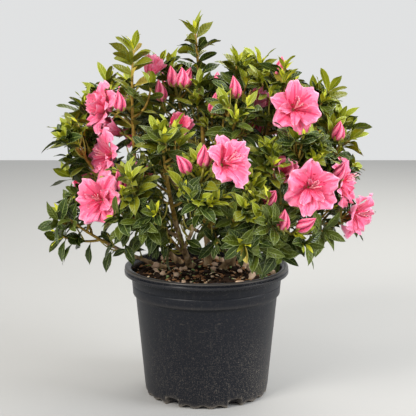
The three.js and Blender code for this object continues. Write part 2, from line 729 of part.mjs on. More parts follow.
const limbSolids = {};
for (const name of limbNames) {
  limbSolids[name] = limbSolid(name, limbSolids);
  const kind = LIMBS[name].from === "soil" ? "stem" : "bough";
  add(`${kind}_${name}`, limbSolids[name], MATERIALS.bark);
  place(limbSolids[name], `limb ${name}`);
}
for (const name of limbNames) add(`foliage_${name}`, massSolid(name), MATERIALS.foliage);

export default shrub;
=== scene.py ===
# %% [markdown]
# # An azalea in bloom in its nursery pot
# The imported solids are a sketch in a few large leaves. This lesson dresses them: the same stems grow by the
# same rule, and then carry on to finer twigs, life-size leaves, petals and buds. It starts by loading the
# solids, because every piece below is measured in their frame, and it keeps their box for the end.

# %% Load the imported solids
import json
import math

import bpy
import numpy as np
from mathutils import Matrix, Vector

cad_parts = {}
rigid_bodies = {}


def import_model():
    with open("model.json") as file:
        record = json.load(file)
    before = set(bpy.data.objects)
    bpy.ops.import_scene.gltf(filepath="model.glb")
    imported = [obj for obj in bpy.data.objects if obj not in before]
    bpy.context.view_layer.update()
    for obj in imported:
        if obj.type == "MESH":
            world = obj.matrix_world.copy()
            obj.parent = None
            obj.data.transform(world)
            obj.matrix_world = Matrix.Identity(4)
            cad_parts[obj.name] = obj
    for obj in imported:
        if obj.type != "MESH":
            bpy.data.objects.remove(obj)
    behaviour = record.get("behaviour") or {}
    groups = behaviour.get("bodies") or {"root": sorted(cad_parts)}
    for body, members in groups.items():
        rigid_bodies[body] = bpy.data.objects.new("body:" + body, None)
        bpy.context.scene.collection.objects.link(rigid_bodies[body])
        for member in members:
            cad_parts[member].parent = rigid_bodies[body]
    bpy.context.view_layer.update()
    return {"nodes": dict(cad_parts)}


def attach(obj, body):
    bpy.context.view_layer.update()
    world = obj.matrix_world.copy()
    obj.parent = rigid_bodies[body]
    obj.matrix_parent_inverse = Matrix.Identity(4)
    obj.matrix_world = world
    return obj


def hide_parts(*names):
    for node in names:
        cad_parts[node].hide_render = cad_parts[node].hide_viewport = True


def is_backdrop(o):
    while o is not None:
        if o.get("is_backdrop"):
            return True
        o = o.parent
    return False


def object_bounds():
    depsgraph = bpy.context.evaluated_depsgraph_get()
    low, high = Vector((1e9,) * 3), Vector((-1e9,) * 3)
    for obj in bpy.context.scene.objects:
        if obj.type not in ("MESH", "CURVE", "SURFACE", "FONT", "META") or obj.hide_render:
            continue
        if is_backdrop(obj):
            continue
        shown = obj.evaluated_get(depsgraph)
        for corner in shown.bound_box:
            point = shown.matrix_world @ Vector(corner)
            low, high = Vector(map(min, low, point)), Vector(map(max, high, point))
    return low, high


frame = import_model()
node_names = sorted(frame["nodes"])
scene = bpy.context.scene
MM = 0.001

# %% [markdown]
# ## Camera
# The photo looks slightly down at the plant from about 1.8 m with a long lens. The lens and the tilt come
# from the ellipse of the pot's lip and the curve of its foot, so they are set before any shape is made.

# %% Place the camera
CAMERA_PLACE = (0.0027, -1.8046, 0.6437)
CAMERA_TILT = 10.17  # degrees below the horizon
LENS = 93.46  # millimetres
SENSOR = 36.0


def in_scene(name, data):
    """An object with this data, linked to the scene."""
    thing = bpy.data.objects.new(name, data)
    scene.collection.objects.link(thing)
    return thing


lens = bpy.data.cameras.new("photo_camera")
lens.lens = LENS
lens.sensor_width = SENSOR
camera = in_scene("photo_camera", lens)
camera.location = CAMERA_PLACE
camera.rotation_euler = (math.radians(90 - CAMERA_TILT), 0, 0)
scene.camera = camera
print("camera", CAMERA_PLACE, "tilt", CAMERA_TILT)

# %% [markdown]
# ## Light
# The plant stands in bright open shade, so leaves and petals show colour and only soft shadows. A large key
# light from the upper left front, a wide fill from the right, a high back light for the crown's rim and a
# pale sky give that. Leaves are glossy, and a wide light makes a broad sheen where a lamp would make sparks.

# %% Set the lights and the sky
SKY_COLOUR = (0.96, 0.97, 0.975, 1)
SKY_STRENGTH = 0.78
LIGHTS = {  # place, target, size, watts and colour
    "key": ((-1.5, -1.7, 2.0), (0, 0, 0.35), 1.0, 72, (1.0, 0.96, 0.9)),
    "fill": ((2.2, -0.8, 1.4), (0, 0, 0.35), 1.2, 60, (0.95, 0.97, 1.0)),
    "rim": ((0.8, 1.6, 2.1), (0, 0, 0.4), 1.8, 50, (1.0, 0.97, 0.9)),
}
scene.view_settings.view_transform = "Standard"
scene.view_settings.look = "None"
sky = bpy.data.worlds.new("sky")
sky.use_nodes = True
sky.node_tree.nodes["Background"].inputs["Color"].default_value = SKY_COLOUR
sky.node_tree.nodes["Background"].inputs["Strength"].default_value = SKY_STRENGTH
scene.world = sky
for name, (place, target, size, watts, colour) in LIGHTS.items():
    data = bpy.data.lights.new(name, "AREA")
    data.shape = "SQUARE"
    data.size = size
    data.energy = watts
    data.color = colour
    way = np.array(target) - place
    light = in_scene(name, data)
    light.location = place
    turn = math.atan2(way[1], way[0]) - math.pi / 2
    light.rotation_euler = (math.atan2(math.hypot(way[0], way[1]), -way[2]), 0, turn)
print("lights:", list(LIGHTS))

# %% [markdown]
# ## Tools for meshes
# Every piece is a grid or a set of grids. One helper turns arrays into a mesh: points in millimetres, faces
# with four or three corners, a material for each face, and a value at each point that a material may read.
# Small repeated shapes also get a map in which each copy has a square of its own.


# %% Turn arrays into meshes
def as_piece(name, points, quads, triangles=None, materials=(), zones=None, place=None, chart=None):
    """A piece whose points are in millimetres. zones is the material of each face, quads first.
    place is a vector at each point for the material, and chart is each point's (u, v) in the map."""
    points = np.asarray(points, np.float32).reshape(-1, 3)
    groups = [np.asarray(g, np.int32) for g in (quads, triangles) if g is not None]
    corners = np.concatenate([g.ravel() for g in groups])
    sizes = np.concatenate([np.full(len(g), g.shape[1], np.int32) for g in groups])
    mesh = bpy.data.meshes.new(name)
    mesh.vertices.add(len(points))
    mesh.vertices.foreach_set("co", (points * MM).ravel())
    mesh.loops.add(len(corners))
    mesh.loops.foreach_set("vertex_index", corners)
    mesh.polygons.add(len(sizes))
    mesh.polygons.foreach_set("loop_start", (np.cumsum(sizes) - sizes).astype(np.int32))
    for material in materials:
        mesh.materials.append(material)
    if zones is not None:
        mesh.polygons.foreach_set("material_index", np.asarray(zones, np.int32).ravel())
    mesh.update(calc_edges=True)
    mesh.shade_smooth()
    if place is not None:
        kept = mesh.attributes.new("place", "FLOAT_VECTOR", "POINT")
        kept.data.foreach_set("vector", np.asarray(place, np.float32).ravel())
    if chart is not None:
        layer = mesh.uv_layers.new(name="OFBake")
        layer.uv.foreach_set("vector", np.asarray(chart, np.float32)[corners].ravel())
    piece = in_scene(name, mesh)
    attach(piece, "root")
    print(f"{name}: {len(points)} points, {int(np.sum(sizes - 2))} triangles")
    return piece


def grid_quads(rows, columns, closed=False):
    """The quads of a grid numbered row by row. A closed grid joins its last column to its first."""
    low = np.arange(rows - 1)[:, None] * columns
    column = np.arange(columns if closed else columns - 1)
    after = (column + 1) % columns
    high = low + columns
    return np.stack([low + column, low + after, high + after, high + column], -1).reshape(-1, 4)


def repeated(faces, copies, points_each):
    """The same faces for each of several copies, whose points follow one another."""
    steps = np.arange(copies)[:, None, None] * points_each
    return (np.asarray(faces)[None] + steps).reshape(-1, np.shape(faces)[1])


def round_faces(rings, columns, copies=1):
    """Quads and end triangles of round forms. The points of each are its rings and then its two ends."""
    each, last = rings * columns + 2, (rings - 1) * columns
    j = np.arange(columns)
    after = (j + 1) % columns
    first_end = np.stack([np.full(columns, each - 2), after, j], -1)
    last_end = np.stack([np.full(columns, each - 1), last + j, last + after], -1)
    quads = grid_quads(rings, columns, closed=True)
    return repeated(quads, copies, each), repeated(np.vstack([first_end, last_end]), copies, each)


def chart_cells(copies, local):
    """A square of the map for each copy, side by side, with the copy's own (0 to 1) pairs inside it."""
    side = math.ceil(math.sqrt(copies))
    cell = np.stack([np.arange(copies) % side, np.arange(copies) // side], -1)[:, None, :]
    return ((cell + 0.06 + 0.88 * local) / side).reshape(-1, 2)


def full_turn(count):
    """Angles of a number of corners evenly round a ring."""
    return np.arange(count) * 2 * math.pi / count


def unit(v):
    """A vector, or each row of an array of them, at length one."""
    return v / np.maximum(np.linalg.norm(v, axis=-1, keepdims=True), 1e-9)


def seeded(*seeds):
    """A number from 0 to 1 for each set of seeds: the fraction left by a sine far out on its wave."""
    wave = sum(np.asarray(s) * f for s, f in zip(seeds, (12.9898, 78.233, 37.719)))
    return np.modf(np.abs(np.sin(wave) * 43758.5453))[0]


def draws(first, second, third, count):
    """Several seeded numbers in a row, each from -0.5 to 0.5."""
    return seeded(first, second, third + np.arange(count)) - 0.5


print("mesh tools ready")


# %% [markdown]
# ## Tools for materials
# A finish is a Principled shader with its colour, roughness and relief. Colours that are the same all over
# are set on the shader itself. Relief comes from noise in the object's own coordinates, at the scale of the
# real grain, so it stays where it is when the camera moves.


# %% Start a finish
class Finish:
    """A material under construction: short calls add nodes and join them."""

    def __init__(self, name, colour=None, roughness=0.5, **sockets):
        self.material = bpy.data.materials.new(name)
        self.material.use_nodes = True
        self.tree = self.material.node_tree
        self.shader = self.tree.nodes["Principled BSDF"]
        self.here = self.add("ShaderNodeTexCoord").outputs["Object"]
        if colour is not None:
            sockets["Base_Color"] = (*colour, 1)
            self.material.diffuse_color = (*colour, 1)
        for socket, value in {"Roughness": roughness, **sockets}.items():
            self.shader.inputs[socket.replace("_", " ")].default_value = value

    def add(self, kind, **inputs):
        """A node of a kind. Each input is a value or another node's output, by the socket's name."""
        node = self.tree.nodes.new(kind)
        for key, value in inputs.items():
            self.join(value, node.inputs[key.replace("_", " ")])
        return node

    def join(self, value, socket):
        """Puts a value on a socket, or links another node's output to it."""
        if isinstance(value, bpy.types.NodeSocket):
            self.tree.links.new(value, socket)
        else:
            socket.default_value = value

    def place(self):
        """The vector that a piece keeps at each point."""
        node = self.add("ShaderNodeAttribute")
        node.attribute_name = "place"
        return node.outputs["Vector"]

    def axis(self, vector, letter):
        """One coordinate of a vector."""
        return self.add("ShaderNodeSeparateXYZ", Vector=vector).outputs[letter]

    def noise(self, scale, detail=4.0, roughness=0.55, stretch=None, vector=None):
        """Cloudy noise from 0 to 1 at a scale in cells a metre, stretched along an axis if asked."""
        vector = vector or self.here
        if stretch:
            vector = self.add("ShaderNodeMapping", Vector=vector, Scale=stretch).outputs["Vector"]
        node = self.add("ShaderNodeTexNoise", Vector=vector, Scale=scale, Detail=detail, Roughness=roughness)
        return node.outputs["Fac"]

    def ramp(self, value, stops):
        """A colour or grey for each height of a value, from (height, colour) stops."""
        node = self.add("ShaderNodeValToRGB", Fac=value)
        points = node.color_ramp.elements
        while len(points) < len(stops):
            points.new(0.5)
        for point, (height, colour) in zip(points, stops):
            point.position = height
            point.color = (*colour, 1) if np.shape(colour) else (colour, colour, colour, 1)
        return node.outputs["Color"]

    def patches(self, low, high, *noise):
        """Patches of noise, 0 where it is under low and 1 where it is over high."""
        return self.ramp(self.noise(*noise), [(low, 0.0), (high, 1.0)])

    def span(self, value, low, high, at_low, at_high):
        """A value carried evenly from one span to another, and no further."""
        ends = {"From_Min": low, "From_Max": high, "To_Min": at_low, "To_Max": at_high}
        return self.add("ShaderNodeMapRange", Value=value, **ends).outputs[0]

    def sum(self, operation, first, second=0.0, third=0.0):
        """One step of arithmetic on values."""
        node = self.add("ShaderNodeMath")
        node.operation = operation
        for socket, value in zip(node.inputs, (first, second, third)):
            self.join(value, socket)
        return node.outputs[0]

    def blend(self, share, first, second):
        """A mix of two plain colours by a share from 0 to 1."""
        node = self.add("ShaderNodeMix")
        node.data_type = "RGBA"
        for number, value in ((0, share), (6, (*first, 1)), (7, (*second, 1))):
            self.join(value, node.inputs[number])
        return node.outputs[2]

    def relief(self, height, depth, strength=1.0):
        """Bumps of a depth in millimetres, where the height runs from 0 to 1, over any that are there."""
        last = self.shader.inputs["Normal"]
        node = self.add("ShaderNodeBump", Height=height, Distance=depth * MM, Strength=strength)
        if last.is_linked:
            self.join(last.links[0].from_socket, node.inputs["Normal"])
        self.join(node.outputs["Normal"], last)

    def paint(self, colour, roughness=None):
        """Joins a patterned colour, and roughness if there is one, to the shader."""
        self.join(colour, self.shader.inputs["Base Color"])
        if roughness is not None:
            self.join(roughness, self.shader.inputs["Roughness"])
        return self.material


def grained(name, colour, roughness, grain, depth, **sockets):
    """A material of one colour, whose grain is noise as relief."""
    finish = Finish(name, colour, roughness, **sockets)
    finish.relief(finish.noise(*grain), depth)
    return finish.material


def mottled(name, stops, cloud, grain, depth, roughness, specular=0.5):
    """A material whose tones follow cloudy noise, from (height, colour) stops, with a grain as relief."""
    finish = Finish(name, None, roughness, Specular_IOR_Level=specular)
    finish.relief(finish.noise(*grain), depth)
    return finish.paint(finish.ramp(finish.noise(*cloud), stops))


print("finishes ready")

# %% [markdown]
# ## Floor
# A plain pale floor catches the pot's shadow. It is stage and not part of the plant.

# %% Lay the floor
FLOOR_HALF = 3.0
FLOOR_DROP = 0.0004  # keeps it clear of the pot's underside

corners = [(x * FLOOR_HALF, y * FLOOR_HALF, 0) for x, y in ((-1, -1), (1, -1), (1, 1), (-1, 1))]
floor_mesh = bpy.data.meshes.new("floor")
floor_mesh.from_pydata(corners, [], [(0, 1, 2, 3)])
floor_mesh.materials.append(grained("floor_finish", (0.37, 0.37, 0.365), 0.8, (60,), 0.2))
floor = in_scene("floor", floor_mesh)
floor.location.z = -FLOOR_DROP
floor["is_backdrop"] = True
print("floor laid")

# %% [markdown]
# ## Pot
# On the real plant the pot is blown or injection moulded in black recycled plastic, about 2.4 mm thick. Its
# lip is rolled over a bead, the collar below it is almost upright, and the body tapers to six drain notches
# cut in the foot. It could be spun from a curve by a modifier, but a grid of angle by profile lets the same
# formula press the notches and the soft scallops between them, so it is one array of points.

# %% Work out the pot's profile
POT_HEIGHT = 222.0
LIP_RADIUS = 140.0
BODY_FOOT_RADIUS = 106.0
POT_FLOOR = 3.2
POT_COLUMNS = 432

outer_profile = [
    (0.5, 0.0), (60, 0.0), (98, 0.0), (102.5, 0.15), (104.2, 0.7), (104.9, 1.9), (105.2, 4.0), (105.5, 6.0),
    (105.9, 8.0), (106.2, 10.0), (106.4, 11.6), (106.5, 12.8), (106.7, 14.0), (107.0, 17.0), (107.6, 24.0),
    (108.7, 36.0), (110.1, 52.0), (112.0, 72.0), (114.0, 94.0), (116.0, 115.0), (118.1, 137.0),
    (119.6, 153.0), (120.9, 168.0), (121.1, 171.6), (121.2, 173.6), (121.5, 174.4), (124.6, 174.5),
    (125.5, 174.8), (125.9, 175.7), (125.9, 177.0), (126.2, 181.0), (126.5, 185.0), (126.9, 190.2),
    (126.7, 190.8), (125.9, 191.3), (125.9, 192.0), (126.9, 192.5), (127.3, 193.4), (127.7, 200.0),
    (128.1, 204.0), (128.4, 207.6), (128.8, 208.8), (130.0, 209.4), (136.0, 209.4), (138.8, 209.5),
    (139.9, 210.2), (140.2, 211.6), (140.2, 214.4), (139.8, 215.6), (138.2, 216.1), (138.1, 217.0),
    (139.3, 217.6), (139.7, 219.0), (139.3, 220.6), (138.2, 221.6), (135.6, 222.0), (132.6, 221.8),
    (130.6, 221.0), (129.2, 219.6), (128.2, 217.4),
]
inner_profile = [
    (126.4, 213.0), (125.7, 206.0), (124.6, 192.0), (123.4, 176.0), (122.0, 172.0), (118.5, 166.0),
    (117.4, 150.0), (112.0, 92.0), (105.6, 24.0), (104.2, 16.0), (94.2, 14.6), (93.8, 4.0), (0.5, POT_FLOOR),
]
profile = np.array(outer_profile + inner_profile)
print("profile points:", len(profile))

# %% [markdown]
# The notches are pressed in by moving the foot's points towards the axis wherever the angle lies within a
# notch and the height below its roof. Between notches the foot's edge lifts in scallops, and the whole wall
# is slightly out of round, as thin plastic is. A value at each point says how pale it is: the edges of the
# foot, the notches and the ledge are rubbed pale, and two thin lines on the lip are painted highlight.

# %% Press the notches and make the pot
NOTCHES = 6
NOTCH_TURN = 27.0 - 90.0  # degrees, from +X, of one notch's middle
NOTCH_HALF = 12.5
NOTCH_HEIGHT = 13.0
NOTCH_DEPTH = 10.5
SCALLOP_LIFT = 5.2
SCALLOP_FADE = 6.5
RUBBED_AND_HIGHLIT = [  # share, height, spread and least radius of each pale line: rubbing on the ledge, painted highlight on the lip
    (0.1, 176.4, 0.9, 125.5), (0.16, 213.4, 1.2, 139), (0.36, 220.8, 1.0, 134),
]

angle = full_turn(POT_COLUMNS)
radius, height = profile[:, :1], profile[:, 1:]
is_outside = (np.arange(len(profile)) < len(outer_profile))[:, None]
is_wall = is_outside & (radius > 90)
step = 2 * math.pi / NOTCHES
off = (angle - math.radians(NOTCH_TURN) + step / 2) % step - step / 2
along_foot = np.abs(off) * BODY_FOOT_RADIUS
roof = NOTCH_HEIGHT * np.clip(1.06 - 0.35 * (along_foot / NOTCH_HALF) ** 6, 0, 1)
in_notch = np.clip((NOTCH_HALF + 0.6 - along_foot) / 1.2, 0, 1) * np.clip(roof - height, 0, 1) * is_wall
scallop = SCALLOP_LIFT * np.cos(off * 12) ** 2 * np.exp(-height / SCALLOP_FADE) * is_wall
sway = 0.25 * np.sin(2 * angle + 0.6) + 0.16 * np.sin(3 * angle + 2.0)
pot_radius = radius + sway * np.clip(height / 200, 0, 1) - NOTCH_DEPTH * in_notch
pot_height = height + scallop + 0.25 * np.sin(2 * angle + 1.0) * (height > 205)
pot_grid = np.stack([pot_radius * np.cos(angle), pot_radius * np.sin(angle), pot_height], -1)
pot_points = np.vstack([pot_grid.reshape(-1, 3), [0, 0, 0], [0, 0, POT_FLOOR]])

past_notch = np.maximum(np.maximum(along_foot - NOTCH_HALF, height - NOTCH_HEIGHT), 0)
wear_and_highlight = np.maximum(1.5 * np.exp(-height / 2.4), 0.75 * np.exp(-past_notch / 0.9))
wear_and_highlight = wear_and_highlight * (radius > 101) * (1 - in_notch)
# The ledge's pale line is rubbing; the two pale lines on the lip are painted highlight, where its rounded
# edges catch the light.
for share, at, spread, least_radius in RUBBED_AND_HIGHLIT:
    wear_and_highlight = np.maximum(wear_and_highlight, share * np.exp(-(((height - at) / spread) ** 2)) * (radius > least_radius))
pot_wear_and_highlight = np.append(wear_and_highlight * is_outside, [0, 0])
print("notch columns:", int((in_notch.max(0) > 0.5).sum()))

# %% [markdown]
# Used nursery pots are never clean. The plastic is charcoal with a slight sheen; grit sticks to it, thicker
# near the foot and towards the pot's right (+X) side, dried drops leave pale specks and handling leaves fine
# scratches. All but the rubbed edges and the painted highlight on the lip is noise in object coordinates,
# and it all adds up to one measure of dust and painted highlight.

# %% Finish the pot
plastic = Finish("black_plastic", roughness=0.5, Specular_IOR_Level=0.24)
tall = plastic.axis(plastic.here, "Z")
haze = plastic.patches(0.36, 0.75, 11, 6, 0.62)
grit = plastic.patches(0.545, 0.70, 620, 3, 0.65)
specks = plastic.patches(0.64, 0.70, 240, 2, 0.5)
scratches = plastic.patches(0.6, 0.72, 150, 4, 0.6, (1.2, 1.2, 0.12))
slanted = plastic.patches(0.65, 0.72, 190, 3, 0.6, (0.25, 1.0, 0.9))
# More dust towards the foot and towards the pot's right (+X) side, so the pot is paler there.
more_to_right = plastic.span(plastic.axis(plastic.here, "X"), 0.045, 0.108, 1.0, 2.9)
low_and_right = plastic.sum("MULTIPLY", plastic.span(tall, 0.0, 0.18, 1.0, 0.12), more_to_right)
dust_and_highlight = plastic.sum("MULTIPLY", plastic.sum("MULTIPLY_ADD", haze, 0.7, 0.5), low_and_right)
dust_and_highlight = plastic.sum("MULTIPLY", dust_and_highlight, plastic.sum("MULTIPLY", grit, 0.46))
for marks, share in ((specks, 0.04), (scratches, 0.035), (slanted, 0.09)):
    dust_and_highlight = plastic.sum("MULTIPLY_ADD", marks, share, dust_and_highlight)
# Each point's kept value: rubbed pale edges at the foot, notches and ledge, and painted highlight on the lip.
edge = plastic.axis(plastic.place(), "X")
dust_and_highlight = plastic.sum("MULTIPLY_ADD", edge, plastic.sum("MULTIPLY_ADD", haze, 0.5, 0.36), dust_and_highlight)
pot_colour = plastic.blend(dust_and_highlight, (0.0053, 0.0066, 0.0108), (0.38, 0.33, 0.27))
pot_sheen = plastic.sum("MULTIPLY_ADD", dust_and_highlight, 0.6, plastic.span(tall, 0.204, 0.209, 0.42, 0.27))
plastic.relief(plastic.noise(900, 2, 0.5), 0.06, 0.6)
plastic.relief(plastic.noise(24, 3, 0.5), 0.7, 0.6)
plastic.paint(pot_colour, pot_sheen)

pot = as_piece("nursery_pot", pot_points, *round_faces(len(profile), POT_COLUMNS), [plastic.material],
               place=pot_wear_and_highlight[:, None].repeat(3, 1))
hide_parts("pot")

# %% [markdown]
# ## Potting mix
# The mix is composted bark: dark crumbs with flat brown chips, a few pale pebbles and green scraps. A texture
# of crumbs would lie flat, so the crumb is a disc whose height is a sum of waves at several sizes, which
# reads as lumps once shadows fall on it, and the chips are separate small slabs, tilted and half sunk.

# %% Heap the mix
SOIL_RADIUS = 125.4
SOIL_MIDDLE = 209.6
SOIL_FOOT = 190.0
SOIL_RINGS = 64
SOIL_COLUMNS = 220


def soil_height(x, y):
    """The mix's height: a low dome under the stems, and lumps that are sums of crossed sine waves."""
    far = np.hypot(x, y) / SOIL_RADIUS
    lumps = sum(
        size * np.sin(x / wide + 1.7 * k + 1.3 * np.sin(y / (1.7 * wide))) * np.sin(y / wide - 2.1 * k)
        for k, (size, wide) in enumerate([(1.5, 17.0), (1.2, 8.3), (0.9, 4.6), (0.7, 2.6)])
    )
    return SOIL_MIDDLE - 2.6 * far**3 + lumps * np.clip(4 * (1.02 - far), 0.1, 1)


ring = np.append(np.linspace(0.004, 1, SOIL_RINGS) * SOIL_RADIUS, SOIL_RADIUS - 1.2)[:, None]
spoke = full_turn(SOIL_COLUMNS)
soil_x, soil_y = ring * np.cos(spoke), ring * np.sin(spoke)
soil_z = soil_height(soil_x, soil_y)
soil_z[-1] = SOIL_FOOT  # the last ring is the foot of the disc's skirt
soil_grid = np.stack([soil_x, soil_y, soil_z], -1).reshape(-1, 3)
soil_points = np.vstack([soil_grid, [0, 0, SOIL_MIDDLE], [0, 0, SOIL_FOOT]])
soil_quads, soil_ends = round_faces(SOIL_RINGS + 1, SOIL_COLUMNS)
CRUMB_TONES = [(0.3, (0.003, 0.002, 0.001)), (0.5, (0.014, 0.009, 0.005)), (0.64, (0.09, 0.050, 0.026)),
               (0.78, (0.30, 0.19, 0.11))]
crumb = mottled("bark_crumb", CRUMB_TONES, (210, 5, 0.65), (320, 4, 0.6), 1.6, 0.95, 0.08)
soil = as_piece("potting_mix", soil_points, soil_quads[:, ::-1], soil_ends[:, ::-1], [crumb])
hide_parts("soil")

# %% Scatter chips, pebbles and scraps
CHIP_RINGS = np.array([[0.85, -0.62], [1.0, 0.1], [0.78, 0.75]])  # radius and height of a chip's rings
CHIP_CORNERS = 7
LITTER = {  # count, seed, length, flatness, finish, colour and roughness
    "bark_chips_dark": (520, 11, 6.2, 0.24, "chip_dark", (0.034, 0.019, 0.012), 0.85),
    "bark_chips_brown": (460, 23, 4.6, 0.22, "chip_brown", (0.46, 0.230, 0.105), 0.85),
    "bark_chips_pale": (330, 37, 3.0, 0.26, "chip_pale", (0.97, 0.76, 0.52), 0.85),
    "pebbles": (28, 53, 8.4, 0.58, "pebble", (0.92, 0.66, 0.47), 0.7),
    "green_scraps": (170, 67, 2.4, 0.5, "scrap_green", (0.44, 0.66, 0.24), 0.6),
}


def turned(a, b, angle):
    """Two coordinates turned by an angle in their plane."""
    return a * np.cos(angle) - b * np.sin(angle), a * np.sin(angle) + b * np.cos(angle)


def scatter(count, seed, size, flat):
    """Points of rough slabs or pebbles on the mix. Each is a ball of three rings and two ends, drawn out to
    its own length, breadth and thickness, its corners moved by a seeded share, and turned as it lies."""
    n = np.arange(count)
    away = 0.97 * SOIL_RADIUS * np.sqrt(seeded(n, seed, 1))
    bearing = 2 * math.pi * seeded(n, seed, 2)
    middle_x, middle_y = away * np.cos(bearing), away * np.sin(bearing)
    long = size * (0.5 + 1.0 * seeded(n, seed, 3) ** 2)
    broad = long * (0.4 + 0.45 * seeded(n, seed, 4))
    thick = long * flat * (0.7 + 0.6 * seeded(n, seed, 5))
    turn = full_turn(CHIP_CORNERS)
    wide, tall = CHIP_RINGS[:, :1], CHIP_RINGS[:, 1:].repeat(CHIP_CORNERS, 1)
    ball = np.stack([wide * np.cos(turn), wide * np.sin(turn), tall], -1).reshape(-1, 3)
    ball = np.vstack([ball, [0, 0, -1], [0, 0, 1]])
    corner = np.append(CHIP_CORNERS + np.arange(len(ball) - 2), [0, 34])
    rough = 1 + 0.34 * (seeded(n[:, None], corner, seed + 9) - 0.5)
    x, y, z = np.moveaxis(ball * np.stack([long, broad, thick], -1)[:, None] * rough[..., None], -1, 0)
    x, z = turned(x, z, 0.9 * (seeded(n, seed, 6) - 0.5)[:, None])
    x, y = turned(x, y, 2 * math.pi * seeded(n, seed, 7)[:, None])
    lift = soil_height(middle_x, middle_y) + 0.75 * thick
    return np.stack([x + middle_x[:, None], y + middle_y[:, None], z + lift[:, None]], -1)


for name, (count, seed, size, flat, finish, colour, roughness) in LITTER.items():
    chip = grained(finish, colour, roughness, (500, 4, 0.6, (1, 4, 1)), 0.4, Specular_IOR_Level=0.15)
    faces = round_faces(len(CHIP_RINGS), CHIP_CORNERS, count)
    piece = as_piece(name, scatter(count, seed, size, flat), *faces, [chip])

# %% [markdown]
# ## How the plant grows
# The solids come from two short tables: where each stem or bough starts and ends, and where the flowers sit.
# The same tables and the same seeded rule are written again here, so a shoot of this model starts where a
# shoot of the solids does. A limb is a quadratic curve: it leaves its foot by its rise and bends to its tip.

# %% Name the limbs
LIMBS = {  # from, share or foot, tip as bearing, reach and height, bare share, rise, radius
    "front_left": ("soil", (-28, 30), (-118, 147, 454), 0.42, 0.47, 5.6),
    "top": ("soil", (3, 48), (150, 21, 612), 0.46, 0.95, 5.2),
    "top_right": ("soil", (42, 40), (-14, 122, 552), 0.46, 0.72, 4.8),
    "left": ("soil", (-46, 52), (-172, 228, 447), 0.46, 0.5, 4.8),
    "back": ("soil", (4, 84), (95, 196, 476), 0.42, 0.62, 4.8),
    "front_right": ("soil", (28, 12), (-52, 166, 408), 0.42, 0.5, 4.6),
    "left_low": ("soil", (-72, 24), (-163, 241, 319), 0.5, 0.3, 3.4),
    "rear_left_top": ("top", 0.3, (130, 92, 553), 0.42, 0.7, 3.2),
    "rear_right_top": ("top", 0.22, (52, 118, 530), 0.42, 0.6, 3.2),
    "mid_top": ("top", 0.38, (18, 65, 553), 0.36, 0.6, 3.0),
    "front_top": ("top", 0.26, (-57, 86, 488), 0.4, 0.5, 3.0),
    "front": ("front_left", 0.18, (-93, 166, 392), 0.46, 0.3, 3.4),
    "front_left_low": ("front_left", 0.28, (-130, 184, 364), 0.38, 0.3, 3.2),
    "top_left": ("left", 0.3, (-175, 121, 586), 0.36, 0.75, 3.6),
    "left_back": ("left", 0.36, (168, 186, 500), 0.36, 0.6, 3.2),
    "right_back": ("top_right", 0.36, (9, 193, 499), 0.36, 0.6, 3.2),
    "right": ("top_right", 0.26, (-5, 238, 437), 0.42, 0.42, 3.4),
    "right_front": ("top_right", 0.2, (-32, 186, 434), 0.4, 0.4, 3.2),
    "inner_left": ("front_left", 0.1, (-131, 112, 304), 0.36, 0.4, 2.8),
    "inner_front": ("front_right", 0.12, (-95, 84, 318), 0.34, 0.5, 2.8),
    "front_low": ("front_right", 0.3, (-66, 197, 332), 0.36, 0.25, 3.0),
    "right_low": ("front_right", 0.22, (-42, 186, 300), 0.42, 0.25, 3.0),
    "right_outer": ("front_right", 0.14, (-13, 236, 314), 0.46, 0.3, 3.2),
    "back_left": ("back", 0.24, (130, 196, 462), 0.42, 0.5, 3.2),
    "back_right": ("back", 0.3, (58, 200, 480), 0.42, 0.5, 3.2),
    "back_left_low": ("back", 0.14, (143, 228, 345), 0.42, 0.3, 3.0),
    "back_low": ("back", 0.34, (96, 214, 326), 0.36, 0.15, 3.0),
    "right_back_low": ("top_right", 0.13, (14, 226, 366), 0.44, 0.3, 3.0),
    "back_right_low": ("back", 0.18, (53, 222, 340), 0.42, 0.3, 3.0),
}
limb_names = list(LIMBS)
UP = np.array([0.0, 0.0, 1.0])
HEART = np.array([0.0, 20.0, 265.0])
CROWN_HALF = np.array([256.0, 236.0, 290.0])
HELPER = np.array([0.93, -0.27, 0.25])
STEM_FOOT_HEIGHT = 210.3


def polar(bearing, reach, height):
    """The point at a bearing from +X, a reach from the axis and a height."""
    turn = math.radians(bearing)
    return np.array([reach * math.cos(turn), reach * math.sin(turn), height])


def curve(foot, tip, rise, pull=0.6):
    """A limb's three control points: foot, bend and tip. It leaves its foot by its rise."""
    flat = unit((tip - foot) * [1, 1, 0])
    start = unit((1 - rise) * flat + rise * UP)
    return np.array([foot, foot + pull * np.linalg.norm(tip - foot) * start, tip])


def point_on(line, t):
    """Points at shares t: (1-t) squared foot, 2t(1-t) bend and t squared tip."""
    t = np.asarray(t, float)[..., None]
    return (1 - t) ** 2 * line[0] + 2 * t * (1 - t) * line[1] + t**2 * line[2]


def way_on(line, t):
    """Directions along the curve at shares t."""
    t = np.asarray(t, float)[..., None]
    return unit((1 - t) * (line[1] - line[0]) + t * (line[2] - line[1]))


def around(axis, turn):
    """Directions square to an axis, at angles turned about it from a fixed start."""
    start = unit(np.cross(HELPER, axis))
    turn = np.asarray(turn)[..., None]
    return start * np.cos(turn) + np.cross(axis, start) * np.sin(turn)


def sideways(line, t, degrees):
    """Directions that leave the curve sideways at shares t, turned about it by angles in degrees."""
    return around(way_on(line, t), np.radians(degrees))


def length_of(line):
    """A curve's length, from 65 points along it."""
    return float(np.linalg.norm(np.diff(point_on(line, np.linspace(0, 1, 65)), axis=0), axis=1).sum())


def outward(points):
    """The way out of the crown at each point."""
    return unit(points - HEART)


def depth_of(points):
    """How far out in the crown points lie: 0 at its heart and about 1 at its surface."""
    return np.linalg.norm((points - HEART) / CROWN_HALF, axis=-1)


